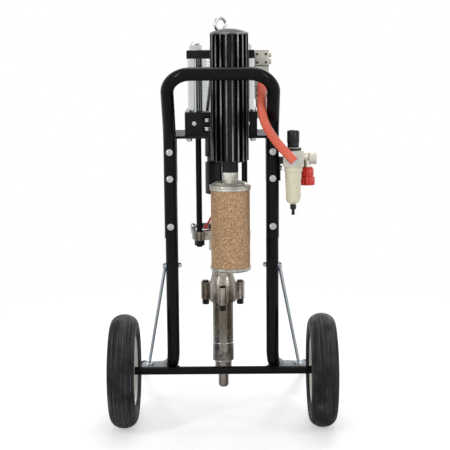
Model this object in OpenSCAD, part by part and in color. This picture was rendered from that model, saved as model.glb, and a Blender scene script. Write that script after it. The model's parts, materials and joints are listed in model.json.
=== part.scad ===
// Air-operated airless paint sprayer on a two-wheel cart.
// Worked out from the axle: X to the right, Y towards the feet, Z up from the floor.
// The whole cart is then shifted along Y so that its origin is the middle of its footprint.

/* [Wheels] */
// Outer diameter of the tyres
tyre_d = 350; // [330:1:370]
// Width of the tyres
tyre_w = 82; // [74:1:92]
// Thickness of the tyre carcass
tyre_wall = 8; // [5:0.5:11]
// Diameter of the rim where the tyre sits
bead_d = 203; // [190:1:216]
// Distance between the flanges of the rim
rim_w = 58; // [50:1:64]
// Height of the rim flanges above the bead seat
flange_h = 9; // [6:0.5:12]
// Sheet thickness of the rim
rim_t = 3; // [2:0.5:4]
// Distance between the middles of the two wheels
track = 608; // [590:1:680]
// Outer diameter of the hub
hub_d = 60; // [56:1:70]
// Length of the hub
hub_len = 58; // [48:1:64]
// Outer diameter of the hub bearings
bearing_d = 47; // [42:1:50]
// Width of one hub bearing
bearing_w = 14; // [10:0.5:16]
// Diameter of the axle rod
axle_d = 20; // [17:0.5:22]
// Outer diameter of the axle tube
axle_tube_d = 25; // [24:0.5:30]

/* [Frame] */
// Outer diameter of the frame and handle tubes
tube_d = 38; // [34:0.5:42]
// Wall of the frame and handle tubes
tube_wall = 2.5; // [2:0.5:4]
// Distance between the middles of the two frame tubes
frame_width = 304; // [290:1:330]
// Height of the top ends of the frame tubes
frame_top = 847; // [830:1:860]
// Bend radius of the frame tubes above the axle
bend_r = 60; // [50:1:80]
// Angle by which the legs spread outwards
leg_spread = 13; // [8:0.5:16]
// Angle by which the legs slope down
leg_drop = 15.8; // [14:0.1:20]
// Outer diameter of the leg tubes
leg_d = 25; // [22:0.5:28]
// Height of the upper brace bolts
brace_top = 505; // [460:1:540]
// Horizontal reach of the braces
brace_reach = 359; // [300:1:400]
// Width of the brace bars
brace_w = 20; // [16:1:24]
// Thickness of the brace bars
brace_t = 5; // [4:0.5:6]

/* [Handle] */
// Height of the lower ends of the handle tube
handle_bottom = 597; // [570:1:620]
// Height at which the handle starts to lean
lean_start = 870; // [860:1:890]
// Angle by which the handle leans to the operator
lean = 38; // [30:1:42]
// Bend radius where the handle starts to lean
lean_r = 110; // [100:1:140]
// Straight length of the leaning sides
lean_run = 121; // [110:1:160]
// Bend radius of the two upper corners
corner_r = 68; // [60:1:80]

/* [Motor] */
// Height of the underside of the motor plate
plate_z = 890; // [880:1:900]
// Thickness of the motor plate
plate_t = 8; // [6:0.5:12]
// Distance from the axle to the middle of the motor
motor_y = 112; // [110:1:130]
// Side of the motor base block
base_w = 216; // [212:1:240]
// Height of the motor base block
base_h = 70; // [64:1:90]
// Outer diameter of the motor cylinder
cylinder_d = 204; // [196:1:205]
// Wall of the motor cylinder
cylinder_wall = 5; // [4:0.5:8]
// Height of the motor cylinder
cylinder_h = 158; // [152:1:180]
// Side of the motor top plate
top_w = 202; // [200:1:210]
// Thickness of the motor top plate
top_t = 24; // [18:1:30]
// Diameter of the four motor tie rods
tie_d = 20; // [16:0.5:21]
// Height of the cap nuts of the tie rods
cap_nut_h = 26; // [22:1:32]
// Height of the boss that carries the lifting eye
boss_h = 35; // [25:1:45]
// Outer diameter of the ring of the lifting eye
eye_d = 49; // [44:1:56]
// Thickness of the ring of the lifting eye
eye_t = 11; // [9:0.5:12]
// Diameter of the neck below the motor
neck_d = 102; // [96:1:110]
// Diameter of the drive rod
drive_rod_d = 30; // [24:1:32]
// Stroke of the motor and the pump
stroke = 100; // [80:1:104]

/* [Air valve] */
// Width of the valve body
valve_w = 42; // [38:1:50]
// Height of the valve body
valve_h = 145; // [130:1:150]
// Diameter of the valve spool
spool_d = 25.4; // [20:0.2:27]
// Travel of the valve spool
spool_travel = 14; // [8:1:18]

/* [Exhaust column] */
// Distance of the column from the middle of the cart
column_x = 26; // [26:1:36]
// Distance of the column in front of the axle
column_y = -64; // [-72:1:-62]
// Outer diameter over the fins
column_d = 112; // [100:1:116]
// Length of the finned part
column_len = 365; // [340:1:400]
// Number of fins
fins = 20; // [12:1:24]
// Thickness of a fin at its crest
fin_t = 4; // [3:0.5:6]
// How far the fins start below the motor plate
column_drop = 58; // [40:1:70]
// Diameter of the neck under the fins
column_neck_d = 49; // [42:1:54]
// Length of the neck under the fins
column_neck_h = 35; // [25:1:45]
// Width across the flats of the hexagon of the silencer
silencer_hex = 44; // [40:1:52]
// Outer diameter of the mesh sleeve
sleeve_d = 116; // [104:1:120]
// Height of the mesh sleeve
sleeve_h = 236; // [200:1:250]
// Outer diameter of the silencer caps
silencer_cap_d = 124; // [122:1:130]

/* [Pump] */
// Length of the tie rods between the motor plate and the pump lugs
tie_span = 292; // [285:1:330]
// Diameter of the pump tie rods
pump_tie_d = 18; // [14:0.5:20]
// Thickness of the pump lugs
lug_t = 28; // [22:1:34]
// Diameter of the upper pump housing
housing_d = 84; // [76:1:90]
// Diameter of the pump rod
pump_rod_d = 22; // [16:1:24]
// Outer diameter of the pump cylinder
pump_cylinder_d = 64; // [62:1:70]
// Diameter of the pump piston
pump_piston_d = 52; // [44:1:53]
// Length of the pump cylinder below its flange
pump_cylinder_h = 141; // [134:1:150]
// Height of the foot valve
foot_valve_h = 50; // [46:1:60]
// Diameter of the foot valve
foot_valve_d = 66; // [64:1:72]
// Diameter of the intake ball
ball_d = 25; // [22:0.5:28]
// Lift of the intake ball
ball_lift = 6; // [3:0.5:8]
// Height of the suction nut
suction_nut_h = 44; // [34:1:50]
// Outer diameter of the suction stub
suction_d = 32; // [28:1:36]
// Length of the suction stub below its nut
suction_len = 45; // [30:1:55]

/* [Filter regulator] */
// Side of the regulator body
regulator_w = 60; // [52:1:64]
// Height of the regulator body
regulator_h = 46; // [42:1:56]
// Height of the middle of the regulator ports
port_z = 836; // [830:1:842]
// Distance from the handle tube to the regulator
bracket_gap = 11; // [9:1:16]
// Diameter of the pressure knob
knob_d = 36; // [32:1:44]
// Height of the pressure knob
knob_h = 38; // [30:1:44]
// Outer diameter of the filter bowl
bowl_d = 50; // [46:1:54]
// Height of the filter bowl
bowl_h = 112; // [90:1:120]
// Diameter of the gauge case
gauge_d = 39; // [34:1:44]
// Depth of the gauge case
gauge_h = 22; // [18:1:26]
// Diameter of the red inlet knob
inlet_knob_d = 44; // [38:1:48]
// Height of the red inlet knob
inlet_knob_h = 54; // [46:1:60]
// Outer diameter of the air hose
hose_d = 26; // [20:0.5:26.5]

/* [Hidden] */
$fn = 64;

// Clearances
running = 0.05;
free_gap = 0.3;
bolt_play = 0.5;
big = 2000;

// Frame
tube_r = tube_d / 2;
axle_z = tyre_d / 2;
weld_bite = 2;
bend_z = axle_z + sqrt(pow(bend_r + tube_r + axle_tube_d / 2 - weld_bite, 2) - bend_r * bend_r);
bend_a = 90 - leg_drop;
bend_end_y = bend_r * (1 - cos(bend_a));
bend_end_z = bend_z - bend_r * sin(bend_a);
socket_len = 46;
socket_stop = 6;
leg_wall = 2.5;
foot_wall = 4.5;
foot_r = leg_d / 2 + foot_wall;
foot_end = 6;
foot_flat = 2;
foot_len = 40;
foot_h = foot_r * cos(leg_drop) + foot_end * sin(leg_drop) - foot_flat;
leg_len = (bend_end_z - foot_h) / sin(leg_drop);
cap_t = 3;

// Braces
brace_bolt_d = 8;
brace_foot_z = bend_end_z - (brace_reach - bend_end_y) * tan(leg_drop);
brace_len = norm([brace_reach, brace_top - brace_foot_z]);
brace_a = atan2(brace_foot_z - brace_top, brace_reach);

// Handle
handle_y = -(tube_d + 0.2);
bar_y = handle_y - lean_r * (1 - cos(lean)) - (lean_run + corner_r) * sin(lean);
bar_z = lean_start + lean_r * sin(lean) + (lean_run + corner_r) * cos(lean);
bolt_d = 10;
bolt_head_d = 20;
bolt_head_h = 6;
nut_h = 8;
top_bolt_z = frame_top + 8;
mid_bolt_z = frame_top - 71;
low_bolt_z = handle_bottom + 36;

// Motor plate and its flanges
flange_t = 6;
plate_front = -2;
plate_depth = 242;
lug_y = -tube_r;
rear_flange_z = mid_bolt_z - 16;

// Reach of the cart along Y, which sets the origin
front_y = bar_y - tube_r;
foot_out = bend_end_y + (leg_len + foot_end) * cos(leg_drop);
foot_lift = norm([sin(leg_spread), sin(leg_drop) * cos(leg_spread)]);
back_y = foot_out * cos(leg_spread) + foot_r * foot_lift;
y_mid = (front_y + back_y) / 2;

// Wheels
hub_bore = bearing_d - 8;
washer_t = 2.5;
hub_nut_h = 10;
hub_end = track / 2 + hub_len / 2 + free_gap;
axle_tube_half = track / 2 - hub_len / 2 - free_gap - washer_t;
axle_half = hub_end + washer_t + hub_nut_h;

// Motor levels
base_z = plate_z + plate_t;
base_top = base_z + base_h;
cylinder_top = base_top + cylinder_h;
motor_top = cylinder_top + top_t;
boss_d = 56;
boss_top = motor_top + boss_h;
tie_x = 76;
tie_y = 85;
thread_depth = 25;
base_bolt_x = base_w / 2 - 12;
base_bolt_y = base_w / 2 - 14;
base_bolt_d = 10;
eye_thread_d = 16;
eye_collar_h = 6;
eye_rise = 42;
eye_turn = 34;
neck_h = 63;
groove_h = 19;
spigot_d = neck_d - 12;
spigot_in = 12;
guard_h = 96;
guard_top = plate_z - neck_h - groove_h;
guard_slot = 7;
spigot_bottom = guard_top - spigot_in;

// Pump levels
lug_top = plate_z - tie_span;
lug_z = lug_top - lug_t;
housing_top = lug_top + 22;
packing_h = 12;
packing_top = housing_top + packing_h;
tie_nut_h = 16;
cone_top = lug_z - 113;
cone_bottom = cone_top - 32;
cone_r = 33;
lobe_h = 42;
housing_bottom = cone_bottom - lobe_h;
lobe_r = 14;
lobe_x = 63;
lobe_flange_t = 13;
lobe_nut_h = 18;
lobe_bolt_d = 12;
waist_r = housing_d / 2 - 1;
waist_gap = 36;
waist_h = lug_z - waist_gap - cone_top;
lug_w = 26;
lug_wall = 8;
outlet_drop = 20;
outlet_d = 22;
cylinder_z = housing_bottom - lobe_flange_t - pump_cylinder_h;
chamber_d = pump_piston_d + 1;
foot_valve_z = cylinder_z - foot_valve_h;
spigot_h = 8;
suction_nut_z = foot_valve_z - suction_nut_h;
suction_z = suction_nut_z - suction_len;
suction_bore = 20;
pump_ties = [[-70, -40], [70, -40], [0, 81]];
lobe_angles = [-90, 30, 150];

// Intake ball on its seat
seat_d = 18;
seat_z = foot_valve_z + 12;
ball_z = seat_z + sqrt(pow(ball_d / 2, 2) - pow(seat_d / 2, 2)) + free_gap;

// Rods and pistons at the bottom of the stroke
coupling_z = packing_top + 3;
coupling_h = 56;
coupling_d = 46;
coupling_web = 6;
coupling_mid = coupling_z + coupling_h / 2;
piston_z = base_top + 12;
piston_t = 26;
rod_head_h = 8;
pump_piston_z = cylinder_z + 14;
pump_piston_h = 28;

// Air valve
valve_x = top_w / 2;
valve_y = motor_y - top_w / 2 - 3;
valve_z = motor_top - valve_h;
spool_x = valve_x + valve_w / 2;
spool_y = valve_y + valve_w / 2;
spool_z = valve_z + 14;
spool_len = 100;
manifold_h = 32;
manifold_top = base_top + 12;
hose_port_z = motor_top - 75;

// Exhaust column
column_z = plate_z - column_drop;
column_top = column_z + column_len;
column_core_d = 84;
column_bore = 50;
column_flat = column_y + 48;
dome_h = 16;
rail_w = 30;
rail_t = 12;
hex_h = 24;
neck_z = column_z - column_neck_h;
silencer_top = neck_z - hex_h;
sleeve_wall = 3;
sleeve_top = silencer_top - 25;
sleeve_z = sleeve_top - sleeve_h;
lip = 3;
exhaust_bore = 30;

// Filter regulator
regulator_x = frame_width / 2 + tube_r + bracket_gap + regulator_w / 2;
regulator_y = -60;
regulator_z = port_z - 23;
regulator_top = regulator_z + regulator_h;
ring_h = 9;
bonnet_h = 12;
spindle_h = 25;
knob_z = regulator_top + ring_h + bonnet_h;
bowl_wall = 2.5;
drain_h = 34;
gauge_x = regulator_x + regulator_w / 2;
gauge_stem = 16;
needle_len = 13;
bracket_t = 4;
bracket_bolt_d = 8;
bracket_bolt_z = mid_bolt_z + 28;
bracket_low = mid_bolt_z - 8;
bracket_high = port_z + 2;
inlet_y = 2;
inlet_x = regulator_x + 46;
inlet_d = 30;
inlet_bonnet_h = 33;
inlet_knob_z = port_z - inlet_bonnet_h - free_gap;
inlet_reach = 60;

// Hose route from the motor's air valve to the front port of the regulator
hose_route = [
    [122, -20, 1075], [121, -48, 1068], [120, -72, 1046], [119, -90, 1015], [119, -104, 985],
    [124, -113, 955], [136, -114, 926], [154, -112, 898], [174, -112, 872], [198, -112, 847]
];
hose_sides = 10;
hose_steps = 2;
port_point = [regulator_x, -112, port_z];

// Bypass valve
bypass_z = lug_top + 10;
bypass_x = -housing_d / 2;
lever_x = bypass_x - 9;
lever_y = motor_y - 24;
lever_len = 46;
lever_a = 60;

// Shapes used by several pieces

module cart() translate([0, -y_mid, 0]) children();

module at_motor(z = 0) cart() translate([0, motor_y, z]) children();

module along_x() rotate([0, 90, 0]) children();

module along_y() rotate([-90, 0, 0]) children();

module hex(flats, h) cylinder(d = flats / cos(30), h = h, $fn = 6);

module ring(outer, inner, h) {
    difference() {
        cylinder(d = outer, h = h);
        translate([0, 0, -1]) cylinder(d = inner, h = h + 2);
    }
}

// A bend that starts at the origin along +Z and turns towards +X
module elbow(r, a, d) {
    translate([r, 0, 0])
        rotate([0, 0, 180])
            rotate([90, 0, 0])
                rotate_extrude(angle = a)
                    translate([r, 0]) circle(d = d);
}

// Moves its children to the far end of such a bend
module past_elbow(r, a) {
    translate([r * (1 - cos(a)), 0, r * sin(a)])
        rotate([0, a, 0])
            children();
}

// Wheels

module at_wheel(side) {
    cart()
        translate([side * track / 2, 0, axle_z])
            rotate([0, side * 90, 0])
                children();
}

// Half outline of a tyre: radius against half width, from the crown down to the bead
function tyre_side(half_w, top_r, mid_r, foot_r, bead_half) = concat(
    [for (t = [90:-10:0]) [mid_r + (top_r - mid_r) * pow(sin(t), 0.8), half_w * pow(cos(t), 0.8)]],
    [for (t = [18:18:90]) [mid_r - (mid_r - foot_r) * sin(t), bead_half + (half_w - bead_half) * cos(t)]]
);

function mirrored(points) = [for (i = [len(points) - 1:-1:0]) [points[i][0], -points[i][1]]];

module tyre_section(half_w, top_r, bead_half, bottom_r) {
    foot = bead_d / 2 + flange_h + 0.5;
    mid_r = (tyre_d / 2 + foot) / 2;
    half = tyre_side(half_w, top_r, mid_r, foot, bead_half);
    inner = [[bottom_r, bead_half], [bottom_r, -bead_half]];
    polygon(concat(half, inner, mirrored(half)));
}

module tyre(side) {
    at_wheel(side) color([0.08, 0.08, 0.085]) rotate_extrude($fn = 96) difference() {
        tyre_section(tyre_w / 2, tyre_d / 2, rim_w / 2, bead_d / 2);
        tyre_section(tyre_w / 2 - tyre_wall, tyre_d / 2 - tyre_wall, rim_w / 2 - tyre_wall, bead_d / 2 - 1);
    }
}

module rim(side) {
    seat = bearing_d / 2;
    bore = hub_bore / 2;
    end = hub_len / 2;
    step = end - bearing_w;
    hub = [
        [seat, -end], [hub_d / 2, -end], [hub_d / 2, end], [seat, end],
        [seat, step], [bore, step], [bore, -step], [seat, -step]
    ];
    at_wheel(side) color([0.85, 0.84, 0.8]) rotate_extrude($fn = 96) {
        translate([bead_d / 2 - rim_t, -rim_w / 2 - rim_t]) square([rim_t, rim_w + 2 * rim_t]);
        for (edge = [-rim_w / 2 - rim_t, rim_w / 2])
            translate([bead_d / 2 - rim_t, edge]) square([rim_t + flange_h, rim_t]);
        translate([hub_d / 2 - 1, -rim_t / 2]) square([bead_d / 2 - hub_d / 2, rim_t]);
        polygon(hub);
    }
}

module bearings(side) {
    at_wheel(side) color([0.7, 0.71, 0.73])
        for (z = [-hub_len / 2, hub_len / 2 - bearing_w])
            translate([0, 0, z]) ring(bearing_d, axle_d + 2 * running, bearing_w);
}

module tyre_left() tyre(-1);
module tyre_right() tyre(1);
module rim_left() rim(-1);
module rim_right() rim(1);
module bearings_left() bearings(-1);
module bearings_right() bearings(1);

module axle_rod() {
    cart() color([0.55, 0.56, 0.58])
        translate([-axle_half, 0, axle_z]) along_x() cylinder(d = axle_d, h = 2 * axle_half);
}

module axle_tube() {
    cart() color([0.05, 0.05, 0.055])
        translate([-axle_tube_half, 0, axle_z]) along_x() ring(axle_tube_d, axle_d, 2 * axle_tube_half);
}

// Frame

// The plane of one leg: local +Y points outwards and away from the operator
module leg_plane(side) {
    translate([side * frame_width / 2, 0, 0])
        rotate([0, 0, -side * leg_spread])
            children();
}

// Start of the straight part of a leg, with +Z along it
module leg_axis(side) {
    leg_plane(side)
        translate([0, 0, bend_z])
            rotate([180, 0, 90])
                past_elbow(bend_r, bend_a)
                    children();
}

module frame_run(side, top, d, socket_d) {
    leg_plane(side) {
        translate([0, 0, bend_z]) cylinder(d = d, h = top - bend_z);
        translate([0, 0, bend_z]) rotate([180, 0, 90]) elbow(bend_r, bend_a, d);
    }
    leg_axis(side) cylinder(d = socket_d, h = socket_len);
}

// Holes of the handle bolts, along Y
module handle_bolt_holes(side, heights) {
    for (z = heights)
        translate([side * frame_width / 2, -big / 2, z]) along_y() cylinder(d = bolt_d + bolt_play, h = big);
}

// Place of a brace bolt, with +Z pointing outwards
module at_brace_bolt(side, y, z) {
    leg_plane(side)
        translate([0, y, z])
            rotate([0, side * 90, 0])
                children();
}

module brace_holes(side, y, z) {
    at_brace_bolt(side, y, z)
        translate([0, 0, -tube_d]) cylinder(d = brace_bolt_d + bolt_play, h = 2 * tube_d);
}

module frame_tube(side) {
    cart() color([0.04, 0.04, 0.045]) difference() {
        frame_run(side, frame_top, tube_d, tube_d);
        difference() {
            frame_run(side, frame_top - cap_t, tube_d - 2 * tube_wall, leg_d);
            translate([0, 0, frame_top - cap_t]) cylinder(d = tube_d, h = 1);
        }
        handle_bolt_holes(side, [mid_bolt_z, low_bolt_z]);
        brace_holes(side, 0, brace_top);
        translate([-big / 2, 0, axle_z]) along_x() cylinder(d = axle_tube_d, h = big);
    }
}

module frame_tube_left() frame_tube(-1);
module frame_tube_right() frame_tube(1);

module leg(side) {
    cart() color([0.62, 0.67, 0.7]) difference() {
        leg_axis(side) translate([0, 0, socket_stop]) ring(leg_d, leg_d - 2 * leg_wall, leg_len - socket_stop);
        brace_holes(side, brace_reach, brace_foot_z);
    }
}

module leg_left() leg(-1);
module leg_right() leg(1);

module brace(side) {
    cart() color([0.62, 0.67, 0.7]) leg_plane(side)
        translate([side > 0 ? tube_r : -tube_r - brace_t, 0, brace_top])
            rotate([90, 0, 90])
                rotate([0, 0, brace_a])
                    linear_extrude(brace_t) difference() {
                        union() {
                            translate([0, -brace_w / 2]) square([brace_len, brace_w]);
                            for (x = [0, brace_len]) translate([x, 0]) circle(d = brace_w);
                        }
                        for (x = [0, brace_len]) translate([x, 0]) circle(d = brace_bolt_d + bolt_play);
                    }
}

module brace_left() brace(-1);
module brace_right() brace(1);

module foot_caps() {
    cart() color([0.06, 0.06, 0.06]) intersection() {
        for (side = [-1, 1])
            leg_axis(side) translate([0, 0, leg_len - foot_len]) difference() {
                cylinder(r = foot_r, h = foot_len + foot_end);
                translate([0, 0, -1]) cylinder(d = leg_d, h = foot_len + 1);
            }
        translate([-big / 2, 0, 0]) cube([big, big, big]);
    }
}

module handle_side(side, d) {
    translate([side * frame_width / 2, handle_y, handle_bottom])
        cylinder(d = d, h = lean_start - handle_bottom);
    translate([side * frame_width / 2, handle_y, lean_start]) rotate([0, 0, -90]) {
        elbow(lean_r, lean, d);
        past_elbow(lean_r, lean) {
            cylinder(d = d, h = lean_run);
            translate([0, 0, lean_run]) rotate([0, 0, -side * 90]) elbow(corner_r, 90, d);
        }
    }
}

module handle_run(d) {
    half = frame_width / 2 - corner_r;
    for (side = [-1, 1]) handle_side(side, d);
    translate([-half, bar_y, bar_z]) along_x() cylinder(d = d, h = 2 * half);
}

module handle_tube() {
    cart() color([0.04, 0.04, 0.045]) difference() {
        handle_run(tube_d);
        handle_run(tube_d - 2 * tube_wall);
        for (side = [-1, 1]) handle_bolt_holes(side, [top_bolt_z, mid_bolt_z, low_bolt_z]);
        translate([frame_width / 2, handle_y, bracket_bolt_z]) along_x()
            cylinder(d = bracket_bolt_d, h = tube_d);
    }
}

module motor_plate() {
    bolt_xs = [-frame_width / 2, frame_width / 2];
    cart() color([0.12, 0.14, 0.135]) difference() {
        union() {
            translate([-frame_width / 2 - tube_r, plate_front, plate_z])
                cube([frame_width + tube_d, plate_depth, plate_t]);
            for (x = bolt_xs) {
                translate([x - tube_r, lug_y, plate_z]) cube([tube_d, tube_r + 1, plate_t]);
                translate([x - tube_r, lug_y, frame_top + 2])
                    cube([tube_d, flange_t, plate_z - frame_top - 1]);
                translate([x - tube_r, tube_r, rear_flange_z])
                    cube([tube_d, flange_t, plate_z - rear_flange_z + 1]);
            }
        }
        for (side = [-1, 1]) handle_bolt_holes(side, [top_bolt_z, mid_bolt_z]);
        translate([0, motor_y, plate_z - 1]) {
            cylinder(d = neck_d + 2 * bolt_play, h = plate_t + 2);
            for (p = pump_ties) translate(p) cylinder(d = pump_tie_d + bolt_play, h = plate_t + 2);
            for (x = [-base_bolt_x, base_bolt_x], y = [-base_bolt_y, base_bolt_y])
                translate([x, y]) cylinder(d = base_bolt_d + bolt_play, h = plate_t + 2);
        }
    }
}

// Bolt from the front of the handle tube to a nut behind, along +Y
module handle_bolt(side, z, grip) {
    translate([side * frame_width / 2, handle_y - tube_r, z]) along_y() {
        translate([0, 0, -bolt_head_h]) cylinder(d = bolt_head_d, h = bolt_head_h);
        cylinder(d = bolt_d, h = grip + nut_h + 3);
        translate([0, 0, grip]) hex(bolt_d * 1.6, nut_h);
    }
}

// Bolt from the outside of a brace inwards, from its head's seat along -Z
module brace_bolt(grip) {
    hex(brace_bolt_d * 1.6, 5);
    translate([0, 0, -grip - nut_h - 2]) cylinder(d = brace_bolt_d, h = grip + nut_h + 2);
    translate([0, 0, -grip - nut_h]) hex(brace_bolt_d * 1.6, nut_h);
}

module base_bolt(x, y) {
    translate([x, y, 0]) {
        translate([0, 0, base_top]) cylinder(d = bolt_head_d - 3, h = 7);
        translate([0, 0, plate_z - nut_h - 2]) cylinder(d = base_bolt_d, h = base_top - plate_z + nut_h + 3);
        translate([0, 0, plate_z - nut_h]) hex(base_bolt_d * 1.6, nut_h);
    }
}

module hub_fasteners(side) {
    translate([side * track / 2, 0, axle_z]) rotate([0, side * 90, 0]) {
        translate([0, 0, -hub_len / 2 - free_gap - washer_t]) ring(axle_d * 1.8, axle_d, washer_t);
        translate([0, 0, hub_len / 2 + free_gap]) ring(axle_d * 1.8, axle_d, washer_t);
        translate([0, 0, hub_len / 2 + free_gap + washer_t]) difference() {
            hex(axle_d * 1.5, hub_nut_h);
            translate([0, 0, -1]) cylinder(d = axle_d, h = hub_nut_h + 2);
        }
    }
}

module frame_fasteners() {
    plate_grip = lug_y + flange_t - handle_y + tube_r;
    rear_grip = tube_r + flange_t - handle_y + tube_r;
    low_grip = tube_d - handle_y;
    cart() color([0.75, 0.76, 0.78]) {
        for (side = [-1, 1]) {
            handle_bolt(side, top_bolt_z, plate_grip);
            handle_bolt(side, mid_bolt_z, rear_grip);
            handle_bolt(side, low_bolt_z, low_grip);
            at_brace_bolt(side, 0, brace_top) translate([0, 0, tube_r + brace_t]) brace_bolt(tube_d + brace_t);
            at_brace_bolt(side, brace_reach, brace_foot_z) {
                translate([0, 0, tube_r + brace_t]) brace_bolt(tube_r + brace_t + leg_d / 2);
                translate([0, 0, leg_d / 2]) cylinder(d = brace_bolt_d * 2, h = tube_r - leg_d / 2);
            }
            hub_fasteners(side);
        }
        translate([0, motor_y, 0])
            for (x = [-base_bolt_x, base_bolt_x], y = [-base_bolt_y, base_bolt_y]) base_bolt(x, y);
        translate([frame_width / 2 + tube_r + bracket_t, handle_y, bracket_bolt_z]) along_x() {
            hex(bracket_bolt_d * 1.6, 5.3);
            translate([0, 0, -tube_r - bracket_t]) cylinder(d = bracket_bolt_d, h = tube_r + bracket_t + 1);
        }
    }
}

// Motor

module motor_base() {
    window = 24;
    at_motor() color([0.1, 0.11, 0.11]) difference() {
        union() {
            translate([-base_w / 2, -base_w / 2, base_z]) cube([base_w, base_w, base_h]);
            translate([0, 0, plate_z - neck_h]) cylinder(d = neck_d, h = neck_h + plate_t + 1);
            translate([0, 0, spigot_bottom]) cylinder(d = spigot_d, h = spigot_in + groove_h + 1);
        }
        translate([0, 0, spigot_bottom - 1])
            cylinder(d = drive_rod_d + 2 * free_gap, h = base_top - spigot_bottom + 2);
        for (x = [-tie_x, tie_x], y = [-tie_y, tie_y])
            translate([x, y, base_top - thread_depth]) cylinder(d = tie_d, h = thread_depth + 1);
        for (p = pump_ties)
            translate([p[0], p[1], base_z - 1]) cylinder(d = pump_tie_d, h = thread_depth + 1);
        for (x = [-base_bolt_x, base_bolt_x], y = [-base_bolt_y, base_bolt_y])
            translate([x, y, base_z - 1]) cylinder(d = base_bolt_d + bolt_play, h = base_h + 2);
        for (z = [base_z + 10, base_z + base_h - window - 10])
            translate([-window - 28, -base_w / 2 - 1, z]) cube([window, 26, window - 4]);
    }
}

module motor_cylinder() {
    at_motor(base_top) color([0.8, 0.8, 0.79])
        ring(cylinder_d, cylinder_d - 2 * cylinder_wall, cylinder_h, $fn = 128);
}

module motor_top_plate() {
    at_motor() color([0.1, 0.11, 0.11]) difference() {
        union() {
            translate([-top_w / 2, -top_w / 2, cylinder_top]) cube([top_w, top_w, top_t]);
            translate([0, 0, motor_top - 1]) cylinder(d = boss_d, h = boss_h + 1);
        }
        for (x = [-tie_x, tie_x], y = [-tie_y, tie_y])
            translate([x, y, cylinder_top - 1]) cylinder(d = tie_d, h = top_t + 2);
        translate([0, 0, boss_top - thread_depth]) cylinder(d = eye_thread_d, h = thread_depth + 1);
    }
}

module motor_tie_rods() {
    low = base_top - thread_depth;
    at_motor() color([0.82, 0.82, 0.84])
        for (x = [-tie_x, tie_x], y = [-tie_y, tie_y]) translate([x, y, 0]) {
            translate([0, 0, low]) cylinder(d = tie_d, h = motor_top - low + 1);
            translate([0, 0, motor_top]) hex(tie_d * 1.4, cap_nut_h * 0.6);
            translate([0, 0, motor_top]) cylinder(d = tie_d * 1.2, h = cap_nut_h - tie_d / 4);
            translate([0, 0, motor_top + cap_nut_h - tie_d / 4 - 1]) rotate_extrude() intersection() {
                translate([0, 1 - tie_d * 0.35]) circle(d = tie_d * 1.2);
                square([tie_d, tie_d / 4 + 1]);
            }
        }
}

module lifting_eye() {
    ring_r = (eye_d - eye_t) / 2;
    at_motor(boss_top) color([0.72, 0.74, 0.75]) {
        translate([0, 0, -thread_depth]) cylinder(d = eye_thread_d, h = thread_depth + 1);
        cylinder(d = boss_d * 0.6, h = eye_collar_h);
        difference() {
            union() {
                cylinder(d1 = boss_d * 0.5, d2 = eye_t + 3, h = eye_rise - ring_r);
                translate([0, 0, eye_rise]) rotate([0, 0, eye_turn]) rotate([90, 0, 0])
                    rotate_extrude() translate([ring_r, 0]) circle(d = eye_t);
            }
            translate([0, 0, eye_rise]) rotate([0, 0, eye_turn]) rotate([90, 0, 0])
                cylinder(r = ring_r - eye_t / 2 + 0.5, h = eye_d, center = true);
        }
    }
}

module rod_guard() {
    at_motor(guard_top - guard_h) color([0.03, 0.03, 0.035]) difference() {
        ring(neck_d, spigot_d, guard_h);
        translate([-guard_slot / 2, -neck_d, -1]) cube([guard_slot, 2 * neck_d, guard_h + 2]);
    }
}

module motor_piston() {
    at_motor(piston_z) color([0.6, 0.61, 0.63])
        ring(cylinder_d - 2 * cylinder_wall - 2 * free_gap, drive_rod_d, piston_t, $fn = 128);
}

module drive_rod() {
    at_motor() color([0.85, 0.85, 0.87]) {
        translate([0, 0, coupling_mid + coupling_web / 2])
            cylinder(d = drive_rod_d, h = piston_z + piston_t - coupling_mid);
        translate([0, 0, piston_z + piston_t]) cylinder(d = drive_rod_d * 1.5, h = rod_head_h);
    }
}

module rod_coupling() {
    at_motor(coupling_z) color([0.5, 0.51, 0.53]) difference() {
        cylinder(d = coupling_d, h = coupling_h);
        translate([0, 0, coupling_h / 2 + coupling_web / 2]) cylinder(d = drive_rod_d, h = coupling_h);
        translate([0, 0, -1]) cylinder(d = pump_rod_d, h = coupling_h / 2 - coupling_web / 2 + 1);
    }
}

module pump_rod() {
    at_motor() color([0.8, 0.8, 0.82]) {
        translate([0, 0, pump_piston_z])
            cylinder(d = pump_rod_d, h = coupling_mid - coupling_web / 2 - pump_piston_z);
        translate([0, 0, pump_piston_z]) cylinder(d = pump_piston_d, h = pump_piston_h);
    }
}

// Air valve

module air_valve_body() {
    cart() color([0.78, 0.77, 0.72]) difference() {
        translate([valve_x, valve_y, valve_z]) cube([valve_w, valve_w, valve_h]);
        translate([spool_x, spool_y, valve_z - 1]) cylinder(d = spool_d + 2 * free_gap, h = valve_h - 10);
        translate([spool_x, valve_y - 1, hose_port_z]) along_y() cylinder(d = 12, h = valve_w / 2);
    }
}

module valve_spool() {
    groove = 12;
    cart() translate([spool_x, spool_y, spool_z]) color([0.7, 0.71, 0.73]) difference() {
        cylinder(d = spool_d, h = spool_len);
        for (z = [spool_len * 0.25, spool_len * 0.6])
            translate([0, 0, z]) ring(spool_d + 2, spool_d - 8, groove);
    }
}

module valve_end_caps() {
    plug_d = 16;
    cart() color([0.05, 0.05, 0.055]) {
        translate([spool_x, spool_y, manifold_top]) cylinder(d = valve_w - 6, h = valve_z - manifold_top);
        for (z = [motor_top - 14, motor_top - 34])
            translate([valve_x + valve_w, spool_y, z]) along_x() cylinder(d = plug_d, h = 8);
    }
}

module valve_manifold() {
    cart() color([0.8, 0.79, 0.74])
        translate([base_w / 2, valve_y + 2, manifold_top - manifold_h]) cube([30, valve_w - 4, manifold_h]);
}

// Exhaust column

module at_column(z = 0) cart() translate([column_x, column_y, z]) children();

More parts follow.
